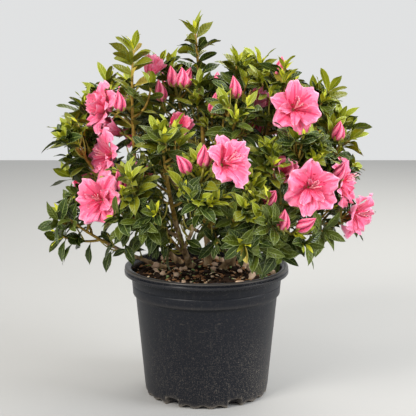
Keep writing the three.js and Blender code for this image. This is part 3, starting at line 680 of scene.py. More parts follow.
lines = {}
for name, (parent, at, tip, bare, rise, thickness) in LIMBS.items():
    foot = np.array([*at, STEM_FOOT_HEIGHT]) if parent == "soil" else point_on(lines[parent], at)
    lines[name] = curve(foot, polar(*tip), rise)
print("limbs:", len(lines), "longest", round(max(length_of(l) for l in lines.values())), "mm")

# %% [markdown]
# ## Where the flowers sit
# Each open flower, half-open flower and bud has its place and the way it faces, and a stalk that leaves the
# leader a little below it. These are placed before any leaf grows, because leaves make room for them.

# %% Place the flowers
FLOWERS = {  # kind, place as bearing, reach and height, and facing as bearing and elevation
    "front_left_low": [("open", (-143, 216, 356), (-112, 8)), ("bud", (-139, 180, 384), (-120, 70))],
    "front": [("open", (-79, 194, 427), (-50, 22)), ("bud", (-100, 193, 420), (-150, 50)),
              ("bud", (-91, 190, 432), (-90, 80))],
    "top_right": [("open", (-32, 168, 498), (-82, 14)), ("bud", (-14, 125, 557), (-14, 84))],
    "front_right": [("open", (-43, 222, 378), (-86, 4)), ("bud", (-57, 182, 364), (-60, 40))],
    "right_outer": [("open", (-14, 262, 319), (-34, -14))],
    "left_back": [("open", (-174, 178, 492), (-150, 12)), ("bud", (-157, 152, 504), (-120, 75))],
    "left": [("open", (-166, 176, 415), (-150, 5))],
    "right": [("open", (-16, 236, 376), (-24, 4)), ("bud", (-13, 221, 455), (-60, 75))],
    "rear_left_top": [("bud", (160, 60, 539), (160, 78)), ("bud", (145, 40, 537), (-20, 70))],
    "front_top": [("bud", (-52, 76, 526), (-140, 76)), ("half", (-21, 85, 496), (-40, 50))],
    "right_low": [("bud", (-55, 208, 330), (-70, 78)), ("bud", (-46, 222, 322), (-30, 35))],
    "top_left": [("half", (166, 98, 548), (60, 50))],
    "rear_right_top": [("open", (48, 140, 520), (60, 45))],
    "right_back": [("open", (22, 205, 452), (30, 15))],
    "back_left": [("open", (124, 218, 440), (118, 15)), ("bud", (136, 200, 476), (130, 75))],
    "back_right": [("open", (62, 222, 452), (66, 18)), ("bud", (52, 205, 490), (50, 70))],
    "back": [("bud", (97, 200, 490), (95, 75))],
    "back_left_low": [("open", (156, 240, 352), (160, 5))],
    "back_low": [("open", (88, 232, 338), (88, 5))],
    "back_right_low": [("bud", (50, 232, 358), (50, 50))],
    "right_back_low": [("open", (17, 243, 372), (14, 8))],
}
FURTHER_IN = [  # kind, place and facing of the small ones that show between the leaves
    ("half", (-47, -40, 457), (0.3, -0.7, 0.6)), ("half", (71, 20, 451), (0.2, -0.9, 0.3)),
    ("half", (-170, -20, 492), (-0.6, -0.5, 0.5)), ("half", (-152, -10, 452), (-0.7, -0.3, 0.3)),
    ("bud", (-38, -40, 541), (-0.1, 0, 1)), ("bud", (14, -60, 500), (0.05, 0, 1)),
    ("bud", (213, -100, 396), (0.3, -0.4, 0.8)), ("half", (120, -118, 396), (0.1, -0.8, 0.5)),
    ("bud", (-77, 20, 515), (-0.2, 0, 1)), ("half", (-103, -70, 380), (-0.2, -0.8, 0.5)),
    ("half", (-60, 150, 520), (-0.3, 0.7, 0.6)), ("half", (130, 130, 470), (0.5, 0.7, 0.5)),
    ("bud", (20, 190, 520), (0, 0.3, 1)), ("bud", (-150, 130, 500), (-0.4, 0.3, 1)),
]
BLOOM_RADIUS = 41.0
BUD_LENGTH = 40.0
SEAT_DEPTH = {"open": 0.55 * BLOOM_RADIUS, "half": 0.36 * BUD_LENGTH, "bud": 0.36 * BUD_LENGTH}
FLOWER_ROOM = {"open": (41.0, 20.5), "half": (18.0, 18.0), "bud": (12.0, 19.0)}  # half width and half depth
flowers = []


def nearest_limb(place):
    """The limb whose leader passes nearest under a place."""
    t = np.linspace(0.5, 0.95, 24)
    reach = {n: np.linalg.norm(point_on(lines[n], t) + [0, 0, 25] - place, axis=1).min() for n in lines}
    return min(reach, key=reach.get)


def add_flower(name, kind, centre, facing):
    """Places a flower, and its stalk, which leaves the leader at the nearest point a little below it."""
    seat = centre - SEAT_DEPTH[kind] * facing
    t = np.arange(LIMBS[name][3] + 0.06, 0.96, 0.02)
    feet = point_on(lines[name], t)
    far = np.linalg.norm(feet - seat, axis=1)
    best = t[np.argmin(far + 2 * np.maximum(0, feet[:, 2] - seat[2] + 0.5 * far))]
    foot = point_on(lines[name], best)
    bend = 0.5 * (foot + seat) + 0.12 * np.linalg.norm(seat - foot) * way_on(lines[name], best)
    stalk = np.array([foot, bend, seat])
    flowers.append({"mass": name, "kind": kind, "centre": centre, "facing": facing, "stalk": stalk})


for kind, place, facing in FURTHER_IN:
    add_flower(nearest_limb(place), kind, np.array(place, float), unit(np.array(facing, float)))
for name, rows in FLOWERS.items():
    for kind, place, (bearing, elevation) in rows:
        elevation = math.radians(elevation)
        add_flower(name, kind, polar(*place), polar(bearing, math.cos(elevation), math.sin(elevation)))
print("flowers:", {kind: sum(f["kind"] == kind for f in flowers) for kind in SEAT_DEPTH})

# %% [markdown]
# ## Room to grow
# A shoot stays in the dome of the crown, clear of the pot, out of the flowers, and nearer to its own leader
# than to any other. That keeps every mass in its own space, as in the solids, and leaves the same gaps.

# %% Test a place in the crown
DOME_HALF = np.array([256.0, 236.0])
DOME_MIDDLE, DOME_DROP, DOME_RISE = 325, 106, 212
LOWEST_LEAF = 198
POT_CLEARANCE = 3
OLD_STEM_ROOM = 13  # on each side of the old stem at the front
BUD_FRONT = np.array([0.0, -150.0, 0.0])
BUD_VEIL = np.array([16.0, 22.0])
WRAPPED_ABOVE = 550.0  # the one bud above this height stays wrapped in its rosette

spine_points, spine_owner = [], []
for index, name in enumerate(limb_names):
    own = [point_on(lines[name], np.arange(LIMBS[name][3], 1.0001, 0.05))]
    own += [point_on(f["stalk"], [0.35, 0.7, 1]) for f in flowers[len(FURTHER_IN):] if f["mass"] == name]
    spine_points.append(np.vstack(own))
    spine_owner += [index] * len(spine_points[-1])
spine_points, spine_owner = np.vstack(spine_points), np.array(spine_owner)


def owner_of(points):
    """The mass whose spine is nearest to each point."""
    gaps = np.linalg.norm(points[:, None] - spine_points[None], axis=2)
    return spine_owner[np.argmin(gaps, axis=1)]


def in_flower(points, spare=1.0, veil=0.0):
    """True where a point lies in the room of a flower, a flat ellipsoid round it, or in front of an open one
    within the depth of the veil, so that no leaf hides its face. An outer bud has a narrower veil, outwards
    and to the front."""
    hit = np.zeros(len(points), bool)
    for number, flower in enumerate(flowers):
        wide, deep = FLOWER_ROOM[flower["kind"]]
        away = points - flower["centre"]
        lift = away @ flower["facing"]
        side = np.sqrt(np.maximum(0, (away**2).sum(1) - lift**2))
        hit |= (side / (wide * spare)) ** 2 + (lift / (deep * spare)) ** 2 < 1
        if flower["kind"] == "open":
            hit |= (side < 0.86 * wide) & (lift > 0) & (lift < veil)
        elif number >= len(FURTHER_IN) and flower["centre"][2] < WRAPPED_ABOVE:
            lift = away @ unit(flower["centre"] * [1, 1, 0] + BUD_FRONT)
            side = np.sqrt(np.maximum(0, (away**2).sum(1) - lift**2 - away[:, 2] ** 2))
            reach = np.stack([side, away[:, 2]], -1) / BUD_VEIL
            hit |= ((reach**2).sum(1) < 1) & (lift > 0) & (lift < veil)
    return hit


def in_dome(points):
    """True inside the crown's dome, a box with very round corners."""
    lift = points[:, 2] - DOME_MIDDLE
    lift = lift / np.where(lift < 0, DOME_DROP, DOME_RISE)
    return (np.abs(points[:, :2] / DOME_HALF) ** 3).sum(1) + np.abs(lift) ** 3 < 1


def before_old_stem(points):
    """True right in front of the one old stem that stands free at the front of the plant."""
    stem = point_on(lines["front_left"], np.linspace(0, 0.8, 40))
    x, y = (np.interp(points[:, 2], stem[:, 2], stem[:, k]) for k in (0, 1))
    return (np.abs(points[:, 0] - x) < OLD_STEM_ROOM) & (points[:, 1] < y) & (points[:, 2] < stem[-1, 2])


def clear_of_pot(points):
    """True above the lip, and beside the pot no lower than the lowest leaf."""
    beside = np.hypot(points[:, 0], points[:, 1]) > LIP_RADIUS + POT_CLEARANCE
    return points[:, 2] > np.where(beside, LOWEST_LEAF, POT_HEIGHT + POT_CLEARANCE)


def has_room(points):
    """True in the dome, clear of the pot and out of the flowers."""
    return in_dome(points) & clear_of_pot(points) & ~in_flower(points)


print("spine points:", len(spine_points))

# %% [markdown]
# ## Twigs
# A leader carries side shoots, and in life each shoot carries finer ones. The solids stop at five shoots a
# leader. Here the rule runs on to nine, and then once more for the sprigs on each shoot and for those on the
# old wood inside the crown. Low limbs that let the ground show keep fewer.

# %% Grow shoots and sprigs
SHOOT_LENGTH = 62.0
SPRIG_LENGTH = 36.0
GOLDEN_ANGLE = 137.5
GOLDEN_SHARE = 0.618034
SHOOTS = 9
SHOOTS_IN_SOLIDS = 5
THIN_SHOOTS = {"left_low": 5, "right_outer": 6, "right_low": 7}
UPRIGHT_ABOVE = 370.0
SPIRE_ABOVE = 425.0
LOW = 340.0  # the lower crown ends here
HIGH = 430.0  # and the upper crown starts here
SPIRE_SHARE = 0.32
SPIRE_RISE = np.array([0.0, 0.0, 26.0])  # how far above the dome a spire may reach
SPRIGS = 2
INNER_SPRIGS = 6
TRIES = 5
RETRY_ANGLE = 47  # how much further round each new try starts
twigs = []  # line, foot radius, tip radius, kind, seed and mass of each


def shoot_from(name, k, attempt):
    """The k-th side shoot of a leader, and whether it is a spire. It leaves sideways, bends up and out, and
    is shorter near the tip. The first five are those of the solids. Later ones high in the crown stand more
    upright, and some of them, the spires, are longer and stand out of the crown."""
    seed = limb_names.index(name) + 1
    line, bare = lines[name], LIMBS[name][3]
    share = (0.5 + k * GOLDEN_SHARE) % 1
    t = bare + (1 - bare) * (0.1 + 0.76 * share)
    foot, along = point_on(line, t), way_on(line, t)
    out = sideways(line, t, k * GOLDEN_ANGLE + 360 * seeded(seed, 1, 1) + attempt * RETRY_ANGLE)
    aim = unit(0.8 * out + 0.35 * along + 0.4 * outward(foot) + 0.25 * UP)
    size = SHOOT_LENGTH * (1.1 - 0.6 * share) * (0.85 + 0.3 * seeded(seed, k, 2)) * 0.93**attempt
    later = k >= SHOOTS_IN_SOLIDS
    if later and foot[2] > UPRIGHT_ABOVE:
        aim = unit(0.5 * out + 0.35 * along + 0.15 * outward(foot) + 0.7 * UP)
        size *= 1.2
    spire = later and foot[2] > SPIRE_ABOVE and seeded(seed, k, 12) < SPIRE_SHARE
    if spire:
        size *= 1.3
    return np.array([foot, foot + 0.45 * size * unit(out + 0.3 * along), foot + size * aim]), spire


def sprig_from(line, seed, k, attempt, first, span):
    """The k-th sprig of a shoot or of old wood: half a shoot long, and it turns up towards the light."""
    t = first + span * ((0.4 + k * GOLDEN_SHARE) % 1)
    foot, along = point_on(line, t), way_on(line, t)
    out = sideways(line, t, k * GOLDEN_ANGLE + 360 * seeded(seed, k, 3) + attempt * RETRY_ANGLE)
    aim = unit(0.5 * out + 0.4 * along + 0.3 * outward(foot) + 0.6 * UP)
    size = SPRIG_LENGTH * (0.7 + 0.6 * seeded(seed, k, 4)) * 0.9**attempt
    return np.array([foot, foot + 0.4 * size * unit(out + 0.5 * along), foot + size * aim])


def grow_sprigs(line, seed, index, count, first, span, kind):
    """Adds a number of sprigs to a twig or limb, each at the first of a few turns where it has room."""
    for j in range(count):
        for attempt in range(TRIES):
            sprig = sprig_from(line, seed, j, attempt, first, span)
            if has_room(point_on(sprig, [0.6, 1.0])).all():
                twigs.append((sprig, 1.5, 1.0, kind, 7 * seed + j, index))
                break


for index, name in enumerate(limb_names):
    twigs.append((lines[name], None, 1.7, "leader", 50 + index, index))
    bare = LIMBS[name][3]
    grow_sprigs(lines[name], 900 + index, index, INNER_SPRIGS, 0.4 * bare, 0.6 * bare, "inner")
    for k in range(THIN_SHOOTS.get(name, SHOOTS)):
        for attempt in range(TRIES):
            line, spire = shoot_from(name, k, attempt)
            spots = point_on(line, [0.4, 0.7, 1.0])
            inside = in_dome(spots - spire * SPIRE_RISE)
            if not (inside & clear_of_pot(spots) & ~in_flower(spots) & (owner_of(spots) == index)).all():
                continue
            seed = 100 * (index + 1) + k
            twigs.append((line, 2.4, 1.5, "shoot", seed, index))
            draw = seeded(seed, 8, 8)
            fewer = int(draw < 0.5) + int((line[2][2] > HIGH or name in THIN_SHOOTS) and draw < 0.8)
            grow_sprigs(line, seed, index, SPRIGS - fewer, 0.3, 0.5, "sprig")
            break
print("twigs:", {kind: sum(t[3] == kind for t in twigs) for kind in ("leader", "shoot", "sprig", "inner")})


# %% [markdown]
# ## Stems and boughs
# Old azalea wood is grey brown, its bark split into fine flat strips that run along the limb, with a swelling
# wherever a twig once stood. A bark image on plain cylinders would keep a smooth outline. Here a tube carried
# along each limb takes that relief in its radius: ridges that wander round the limb, and swellings at seeded
# places. The stems flare where they stand on the mix.


# %% Carry tubes along curves
def tubes(curves, shares, radii, columns):
    """Tubes for several curves at once. Each ring lies square to its curve, in a frame that starts from the
    normal of the curve's plane, so that rings don't twist, and each tube ends in points at both ends."""
    line = np.moveaxis(np.array(curves), 1, 0)[:, :, None]
    middle, along = point_on(line, shares), way_on(line, shares)
    chord = line[2] - line[0]
    plane = np.cross(line[1] - line[0], chord)
    bent = np.linalg.norm(plane, axis=-1, keepdims=True) > 0.01 * (chord**2).sum(-1, keepdims=True)
    across = unit(np.where(bent, plane, np.cross(HELPER, chord)))
    other = unit(np.cross(along, across))[:, :, None]
    across = np.cross(other, along[:, :, None])
    turn = full_turn(columns)[:, None]
    rings = middle[:, :, None] + radii[..., None] * (across * np.cos(turn) + other * np.sin(turn))
    points = np.concatenate([rings.reshape(len(rings), -1, 3), middle[:, [0, -1]]], 1)
    return points.reshape(-1, 3), *round_faces(rings.shape[1], columns, len(rings))


LIMB_RINGS = 96
LIMB_COLUMNS = 16
LEADER_TIP = 2.2
KNOTS = 6  # on each limb
BARK_TONES = [(0.32, (0.090, 0.054, 0.025)), (0.46, (0.32, 0.21, 0.100)), (0.58, (0.56, 0.40, 0.22)),
              (0.74, (0.74, 0.59, 0.39))]

limb_facts = np.array([(row[3], row[5], row[0] == "soil") for row in LIMBS.values()], float)
bare_share, limb_radius, from_soil = limb_facts.T[:, :, None]
t = np.linspace(0, 1, LIMB_RINGS) ** 1.25 * (bare_share + 0.03)
size = (limb_radius + (LEADER_TIP - limb_radius) * t) * (1 + 0.7 * from_soil * np.exp(-t / 0.03))
number = np.arange(len(limb_names))[:, None, None]
turn = full_turn(LIMB_COLUMNS)
far = t[..., None]
strips = 0.08 * np.sin(5 * turn + 9 * np.sin(14 * far + number))
strips = strips + 0.05 * np.sin(3 * turn - 31 * far + number)
for k in range(KNOTS):
    past_knot = (far - (0.05 + 0.43 * seeded(number, k, 5))) / 0.006
    strips = strips + 0.2 * np.exp(-(past_knot**2)) * (0.6 + 0.4 * np.sin(turn + k))
bark = mottled("old_bark", BARK_TONES, (120, 5, 0.6, (1, 1, 0.3)), (420, 5, 0.65, (1, 1, 0.25)), 0.7, 0.85)
old_wood = tubes([lines[n] for n in limb_names], t, size[..., None] * (1 + strips), LIMB_COLUMNS)
limbs = as_piece("stems_and_boughs", *old_wood, [bark])
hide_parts(*[n for n in node_names if n.startswith(("stem_", "bough_"))])

# %% [markdown]
# Young wood is olive to straw brown with a soft shine, and green where it is this year's. Leaders, shoots,
# sprigs and flower stalks are thinner tubes of the same kind, with fewer corners because there are hundreds.

# %% Make the young wood
TWIG_COLUMNS = 7
JOINTS = 6  # slight swellings along a twig, where leaves stood


def young_tubes(chosen, rings):
    """Tubes for a list of (line, first share, foot radius, tip radius)."""
    first, thick, thin = np.array([c[1:] for c in chosen]).T[:, :, None]
    within = np.linspace(0, 1, rings)
    phase = np.arange(len(chosen))[:, None]
    size = (thick * (1 - within) + thin * within)
    size = size * (1 + 0.13 * np.maximum(0, np.sin(2 * math.pi * JOINTS * within + phase)) ** 6)
    return tubes([c[0] for c in chosen], first + (1 - first) * within, size[..., None], TWIG_COLUMNS)


def young_wood(name, tones, roughness):
    """Young wood: three tones by noise along the twig, and a fine grain as relief."""
    stops = list(zip((0.3, 0.52, 0.75), tones))
    return mottled(name, stops, (150, 4, 0.6), (700, 3, 0.6), 0.25, roughness, 0.25)


brown_parts, green_parts = [], []
for line, foot_radius, tip_radius, kind, seed, index in twigs:
    bare = 0.0
    if kind == "leader":
        bare, thickness = LIMBS[limb_names[index]][3], LIMBS[limb_names[index]][5]
        foot_radius = thickness * (1 - bare) + LEADER_TIP * bare
    parts = brown_parts if kind in ("leader", "shoot") else green_parts
    parts.append((line, bare, foot_radius, tip_radius))
brown_wood = young_wood("straw_bark", [(0.145, 0.08, 0.016), (0.32, 0.20, 0.032), (0.49, 0.37, 0.07)], 0.6)
green_wood = young_wood("green_bark", [(0.24, 0.19, 0.035), (0.40, 0.36, 0.06), (0.52, 0.48, 0.11)], 0.55)
young = as_piece("leaders_and_shoots", *young_tubes(brown_parts, 22), [brown_wood])

thin_wood = young_tubes(green_parts, 8)
stalks = young_tubes([(f["stalk"], 0.0, 1.9, 1.5) for f in flowers], 10)
steps = (0, len(thin_wood[0]), len(thin_wood[0]))  # the stalks' corner numbers follow the sprigs'
joined = [np.vstack([a, b + step]) for a, b, step in zip(thin_wood, stalks, steps)]
sprigs = as_piece("sprigs_and_stalks", *joined, [green_wood])

# %% [markdown]
# ## Leaves
# An azalea leaf is a leathery ellipse with a short channelled stalk and a point, folded a little along its
# midrib and curved down towards its tip. Leaves stand in a spiral along each twig and crowd at its end, where
# the youngest are short, upright and yellow green. Planes with a picture of a leaf would be cheaper, but they
# look like paper from the side, so each leaf is a small curved grid in its own outline.

# %% Lay out the leaves
DEEP, MIDDLE, OLIVE, FRESH, TIP, GOLD = range(6)
YOUNG_BREADTH = {FRESH: 0.86, TIP: 0.74}
INNER_KEPT = 0.12  # share of the leaves that stay on the innermost twigs
TALL_ABOVE = 540.0  # leaders whose tips lie above this stand out of the crown and are leafier
HANG_BELOW, HANG_FADE = 345, 90  # leaves hang the more, the lower they are
THIN_BELOW, THIN_WITHIN, THIN_SHARE = 270, 120, 0.4  # leaves shed under the middle of the crown
GOLD_SHARE = 0.007
VEIL = 42  # how far in front of a flower no leaf stands
leaf_rows = []  # base, direction, facing, length, curve, fold, tone, seed and breadth of each leaf


def leaves_on(line, seed, t0, t1, count, length, opened, tone, spin=0.0, lift=0.12):
    """Leaves on a stretch of a twig. They turn by the golden angle, stand up towards its end, and tilt their
    faces to the light outside the crown, each rolled a little its own way. opened is the angle from the
    twig at the stretch's start and end, in degrees. Old leaves low in the crown are larger and hang, their
    faces turned to the side; higher up a downward slope is cut short. Inside the crown most leaves have
    been shed for want of light."""
    if count < 1:
        return
    i = np.arange(count)
    share = i / max(1, count - 1)
    t = t0 + (t1 - t0) * share
    base, tangent = point_on(line, t), way_on(line, t)
    out = sideways(line, t, i * GOLDEN_ANGLE + 360 * seeded(seed, 3, 7) + spin)
    angle = opened[0] + (opened[1] - opened[0]) * share**2 + 18 * (seeded(seed, i, 11) - 0.5)
    angle = np.radians(angle)[:, None]
    low = np.clip((HANG_BELOW - base[:, 2:]) / HANG_FADE, 0, 1)
    high = np.clip((base[:, 2:] - HIGH) / 60, 0, 1)
    along = unit(tangent * np.cos(angle) + out * np.sin(angle) + (lift - 0.6 * low) * UP)
    least = -0.1 - 0.6 * low
    along[:, 2:] = np.maximum(along[:, 2:], least + 0.4 * (along[:, 2:] - least))
    along = unit(along)
    beside = unit(np.cross(tangent, UP))
    beside = beside * np.where((beside * out).sum(1) < 0, -1, 1)[:, None]
    face = 0.5 * (tangent * np.sin(angle) - out * np.cos(angle)) + 0.55 * outward(base) + 0.3 * UP
    face = face + 1.3 * low * (along[:, 2:] < -0.3) * beside
    roll = (1.5 + high) * (seeded(seed, i, 13) - 0.5)[:, None]
    face = face * np.cos(roll) + np.cross(along, face) * np.sin(roll)
    low = low[:, 0]
    size = length * (1 - 0.14 * share) * (0.78 + 0.42 * seeded(seed, i, 5)) * (1 + 0.1 * low)

    spots = np.stack([base + along * (size * s)[:, None] for s in (0.45, 0.8, 1.05)], 1).reshape(-1, 3)
    blocked = in_flower(spots, 0.98, VEIL) | ~clear_of_pot(spots) | before_old_stem(spots)
    under = (base[:, 2] < THIN_BELOW) & (np.hypot(base[:, 0], base[:, 1]) < THIN_WITHIN)
    under = under & (seeded(i, seed, 15) < THIN_SHARE)
    kept = np.clip(INNER_KEPT + (depth_of(base) - 0.5) / 0.45, INNER_KEPT, 1)
    shed = seeded(i, seed, 17) > np.maximum(kept, 0.7 * low)
    keep = ~(blocked.reshape(count, 3).any(1) | under | shed)
    leaf_rows.append(np.column_stack([
        base, along, face, size, 0.3 + 0.6 * seeded(seed, i, 6), 0.22 + 0.34 * seeded(seed, i, 8),
        np.tile([tone, seed, YOUNG_BREADTH.get(tone, 1.0)], (count, 1)),
    ])[keep])


def rosette(line, seed, size, outer, inner, tips=True):
    """The leaves at a twig's end: a spreading ring, erect young leaves and two tiny ones."""
    leaves_on(line, seed + 1, 0.9, 0.97, 4, size, (66, 48), outer, 60)
    leaves_on(line, seed + 2, 0.98, 1.0, 3, 0.92 * size, (32, 20), inner, 20, 0.2)
    if tips:
        leaves_on(line, seed + 3, 0.99, 1.0, 3, 0.62 * size, (24, 14), TIP, 80, 0.2)
        leaves_on(line, seed + 4, 0.995, 1.0, 2, 0.4 * size, (12, 6), TIP, 10, 0.2)


for line, foot_radius, tip_radius, kind, seed, index in twigs:
    draw, depth, end_height = seeded(seed, 5, 9), depth_of(line[2]), line[2][2]
    grown_up = 0.66 + 0.34 * np.clip((depth - 0.5) / 0.3, 0, 1)  # leaves inside the crown stay smaller
    low, high = end_height < LOW, end_height > HIGH
    tone = DEEP if draw < 0.4 else MIDDLE if draw < 0.74 or low else OLIVE
    if depth < 0.6 and tone == OLIVE:
        tone = DEEP
    if kind == "leader":
        bare, tall = LIMBS[limb_names[index]][3], end_height > TALL_ABOVE
        first = 0.26 if limb_names[index] == "left_low" else bare + 0.06 * (1 - bare)
        count = int(length_of(line) * (1 - bare) / (6.5 if tall else 10))
        leaves_on(line, seed, first, 0.94, count, 49, (68, 50), tone)
        rosette(line, seed, 48, tone if low else OLIVE, FRESH)
        if tall:
            leaves_on(line, seed + 5, 0.87, 0.96, 5, 47, (66, 52), OLIVE, 200)
    elif kind == "shoot":
        last, spacing = (0.74, 18) if high else (0.86, 12)
        leaves_on(line, seed, 0.3, last, int(length_of(line) / spacing), 46 * grown_up, (66, 46), tone)
        if depth > 0.72 and (draw < 0.75 or high):
            rosette(line, seed, 43, tone, MIDDLE if low else FRESH, draw < 0.3 or not low)
        else:
            leaves_on(line, seed + 1, 0.9, 1.0, 4, 41 * grown_up, (64, 26), tone, 60)
    elif kind == "sprig":
        leaves_on(line, seed, 0.35, 0.9, 2, 43 * grown_up, (72, 54), tone)
        if depth > 0.8 and draw > 0.55 and not low:
            rosette(line, seed, 36, tone, FRESH)
        else:
            leaves_on(line, seed + 1, 0.92, 1.0, 4, 36 * grown_up, (56, 22), tone, 60)
    else:
        leaves_on(line, seed, 0.3, 1.0, 5, 34, (70, 30), DEEP)
leaf_table = np.vstack(leaf_rows)
turned_gold = (seeded(leaf_table[:, 0], leaf_table[:, 1], 3) < GOLD_SHARE) & (leaf_table[:, 12] < FRESH)
leaf_table[turned_gold, 12] = GOLD
print("leaves:", len(leaf_table), "by tone", np.bincount(leaf_table[:, 12].astype(int)).tolist())

# %% [markdown]
# The leaf's grid has seven rows across the blade and one point at the tip. Its half width along the leaf is
# a sine drawn towards the tip, with the first row narrowed to a stalk. The centre line turns down at an even
# rate, the two halves rise from the midrib as a shallow V, steeper along the stalk, and their edges turn
# back down. Of the five faces across a leaf the middle one is the midrib and the outer two a pale edge, which
# is painted highlight along the leaf's rim.

# %% Shape the leaves
LEAF_STOPS = np.array([0.0, 0.1, 0.24, 0.42, 0.6, 0.77, 0.9])
LEAF_SIDES = np.array([-1.0, -0.9, -0.06, 0.06, 0.9, 1.0])
LEAF_ZONES = [1, 0, 2, 0, 1]  # painted edge highlight, blade, midrib, blade, painted edge highlight
LEAF_BREADTH = 0.41  # of its length
STALK_HALF = 1.4
STALK_FOLD = 0.9  # how much more steeply the stalk is folded than the blade


def on_leaf(table, s, u):
    """Points on leaves at shares s along and u across.
    The centre line is an arc of angle bend: x = L sin(bend s)/bend, z = -L(1 - cos(bend s))/bend.
    The half width is W sin(pi s^1.1), and never less than the stalk's. Up to the tip it grows into a wave."""
    along = table[:, 3:6]
    side = unit(np.cross(along, table[:, 6:9]))
    face = np.cross(side, along)
    length, bend, fold, tone, phase, young = table.T[9:15, :, None]
    fold = fold + STALK_FOLD * np.exp(-s / 0.07)
    breadth = 0.5 * LEAF_BREADTH * length * np.sin(math.pi * s**1.1) * young
    half = np.where(s < 1, np.maximum(breadth, STALK_HALF), 0.0)
    rise = half * (np.abs(u) * np.sin(fold) - 0.15 * np.abs(u) ** 3)
    up = rise + 0.035 * length * u * np.abs(u) * np.sin(7 * s + phase)
    x = length * np.sin(bend * s) / bend + up * np.sin(bend * s)
    z = up * np.cos(bend * s) - length * (1 - np.cos(bend * s)) / bend
    parts = zip((along, side, face), (x, half * u * np.cos(fold), z))
    return table[:, None, :3] + sum(axis[:, None] * size[..., None] for axis, size in parts)


def leaf_mesh(table):
    """The blades of many leaves: points, quads and tip triangles, and then zones, places and chart."""
    rows, sides = len(LEAF_STOPS), len(LEAF_SIDES)
    each, edge = rows * sides + 1, (rows - 1) * sides
    s = np.append(np.repeat(LEAF_STOPS, sides), 1.0)
    u = np.append(np.tile(LEAF_SIDES, rows), 0.0)
    tip = np.array([[each - 1, edge + j + 1, edge + j] for j in range(sides - 1)])
    quads = repeated(grid_quads(rows, sides)[:, ::-1], len(table), each)
    seed = np.broadcast_to(seeded(table[:, 0], table[:, 1], 5)[:, None], (len(table), each))
    place = np.stack(np.broadcast_arrays(u, s, seed), -1)
    zones = np.tile(LEAF_ZONES, len(table) * rows)  # the tip's faces lie across it as the quads do
    chart = chart_cells(len(table), np.stack([0.5 + 0.5 * u, s], -1))
    return (on_leaf(table, s, u), quads, repeated(tip, len(table), each)), (zones, place, chart)


print("corners in a leaf:", len(LEAF_STOPS) * len(LEAF_SIDES) + 1)

# %% [markdown]
# Six plain greens are dealt out by spray: deep and middle for the old leaves, olive for sun-worn ones, fresh
# for this year's, yellow green at the tips and a few that have turned gold. The side veins are relief along
# each leaf's own length and breadth. Midribs are paler greens, and the pale green edges are painted
# highlight.

# %% Finish the leaves
SIDE_VEINS = 8
LEAF_TONES = {  # colour, roughness and depth of the veins
    "deep": ((0.036, 0.060, 0.009), 0.26, 0.8),
    "middle": ((0.072, 0.096, 0.007), 0.30, 0.8),
    "olive": ((0.170, 0.175, 0.008), 0.34, 0.5),
    "fresh": ((0.245, 0.280, 0.010), 0.42, 0.3),
    "tip": ((0.560, 0.560, 0.018), 0.50, 0.2),
    "gold": ((0.460, 0.340, 0.050), 0.5, 0.4),
}
# The first colour of each pair is a pale edge, painted highlight along the leaf's rim; the second is the
# midrib's green.
TRIMS = {"old": ((0.20, 0.25, 0.075), (0.19, 0.24, 0.05)), "young": ((0.48, 0.52, 0.13), (0.42, 0.47, 0.08))}


def leaf_finish(name, colour, roughness, veins):
    """A leathery leaf of one colour: veins that rise from the midrib to the edge, sunk by relief."""
    finish = Finish(name, colour, roughness, Specular_IOR_Level=0.30)
    place = finish.place()
    across = finish.sum("ABSOLUTE", finish.axis(place, "X"))
    rise = finish.sum("MULTIPLY_ADD", across, -0.16, finish.axis(place, "Y"))
    wave = finish.sum("SINE", finish.sum("MULTIPLY", rise, 2 * math.pi * SIDE_VEINS))
    finish.relief(finish.sum("POWER", finish.sum("MULTIPLY_ADD", wave, 0.5, 0.5), 0.6), veins)
    finish.relief(finish.noise(900, 2, 0.5), 0.12, 0.6)
    return finish.material


# The edge finishes carry painted highlight along each leaf's rim.
trims = {
    age: [Finish(f"margin_{age}", painted_edge_highlight, 0.5).material, Finish(f"midrib_{age}", midrib, 0.45).material]
    for age, (painted_edge_highlight, midrib) in TRIMS.items()
}
foliage_nodes = [n for n in node_names if n.startswith("foliage_")]
for tone, (label, look) in enumerate(LEAF_TONES.items()):
    shape, marks = leaf_mesh(leaf_table[leaf_table[:, 12] == tone])
    finishes = [leaf_finish(f"leaf_{label}", *look), *trims["old" if tone <= OLIVE else "young"]]
    piece = as_piece(f"leaves_{label}", *shape, finishes, *marks)
    if label == "middle":
        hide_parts(*foliage_nodes)

# %% [markdown]
# ## Petals
# The flowers are semi-double: six broad outer lobes with waved edges and a furrow down the middle, two folded
# ones inside them, and small twisted petals where some stamens would be. A cupped disc with a picture would
# do from afar. Here a petal is a grid from its root in the throat to its rim. Plain pinks are dealt to its
# faces by zone, deep at the throat and along the furrow and pale at the rim, in streaks, with a few flecks.

# %% Shape the petals
PETAL_ROWS = PETAL_COLUMNS = 17
petal_s = np.linspace(0, 1, PETAL_ROWS)[:, None]
petal_u = np.linspace(-1, 1, PETAL_COLUMNS)[None, :]
petal_u = petal_u * np.abs(petal_u) ** 0.25  # closer together along the furrow
PETAL_RINGS = [  # petals, seed, first turn, step, spread of turns and lift of every other one, then the
    # mean and the spread of reach, half width, throat, lift, curl, cup and ruffle, by the bloom's radius
    (6, 30, 0.0, math.pi / 3, 0.24, 0.17,
     (1.03, 0.475, 0.55, 0.01, 0.16, 0.05, 0.13), (0.18, 0.12, 0, 0, 0.26, 0, 0.07)),
    (2, 40, 0.5, 1.3, 0.4, 0.0,
     (0.66, 0.22, 0.5, 0.2, 0.1, 0.08, 0.1), (0.16, 0.1, 0, 0.14, 0, 0.1, 0)),
    (2, 50, 3.4, 1.6, 0.9, 0.0,
     (0.4, 0.12, 0.46, 0.3, 0.08, 0.16, 0.08), (0.14, 0.06, 0, 0.2, 0, 0, 0)),
]
DRAW_FOR = [1, 2, 0, 3, 3, 4, 4]  # which draw spreads each of those seven


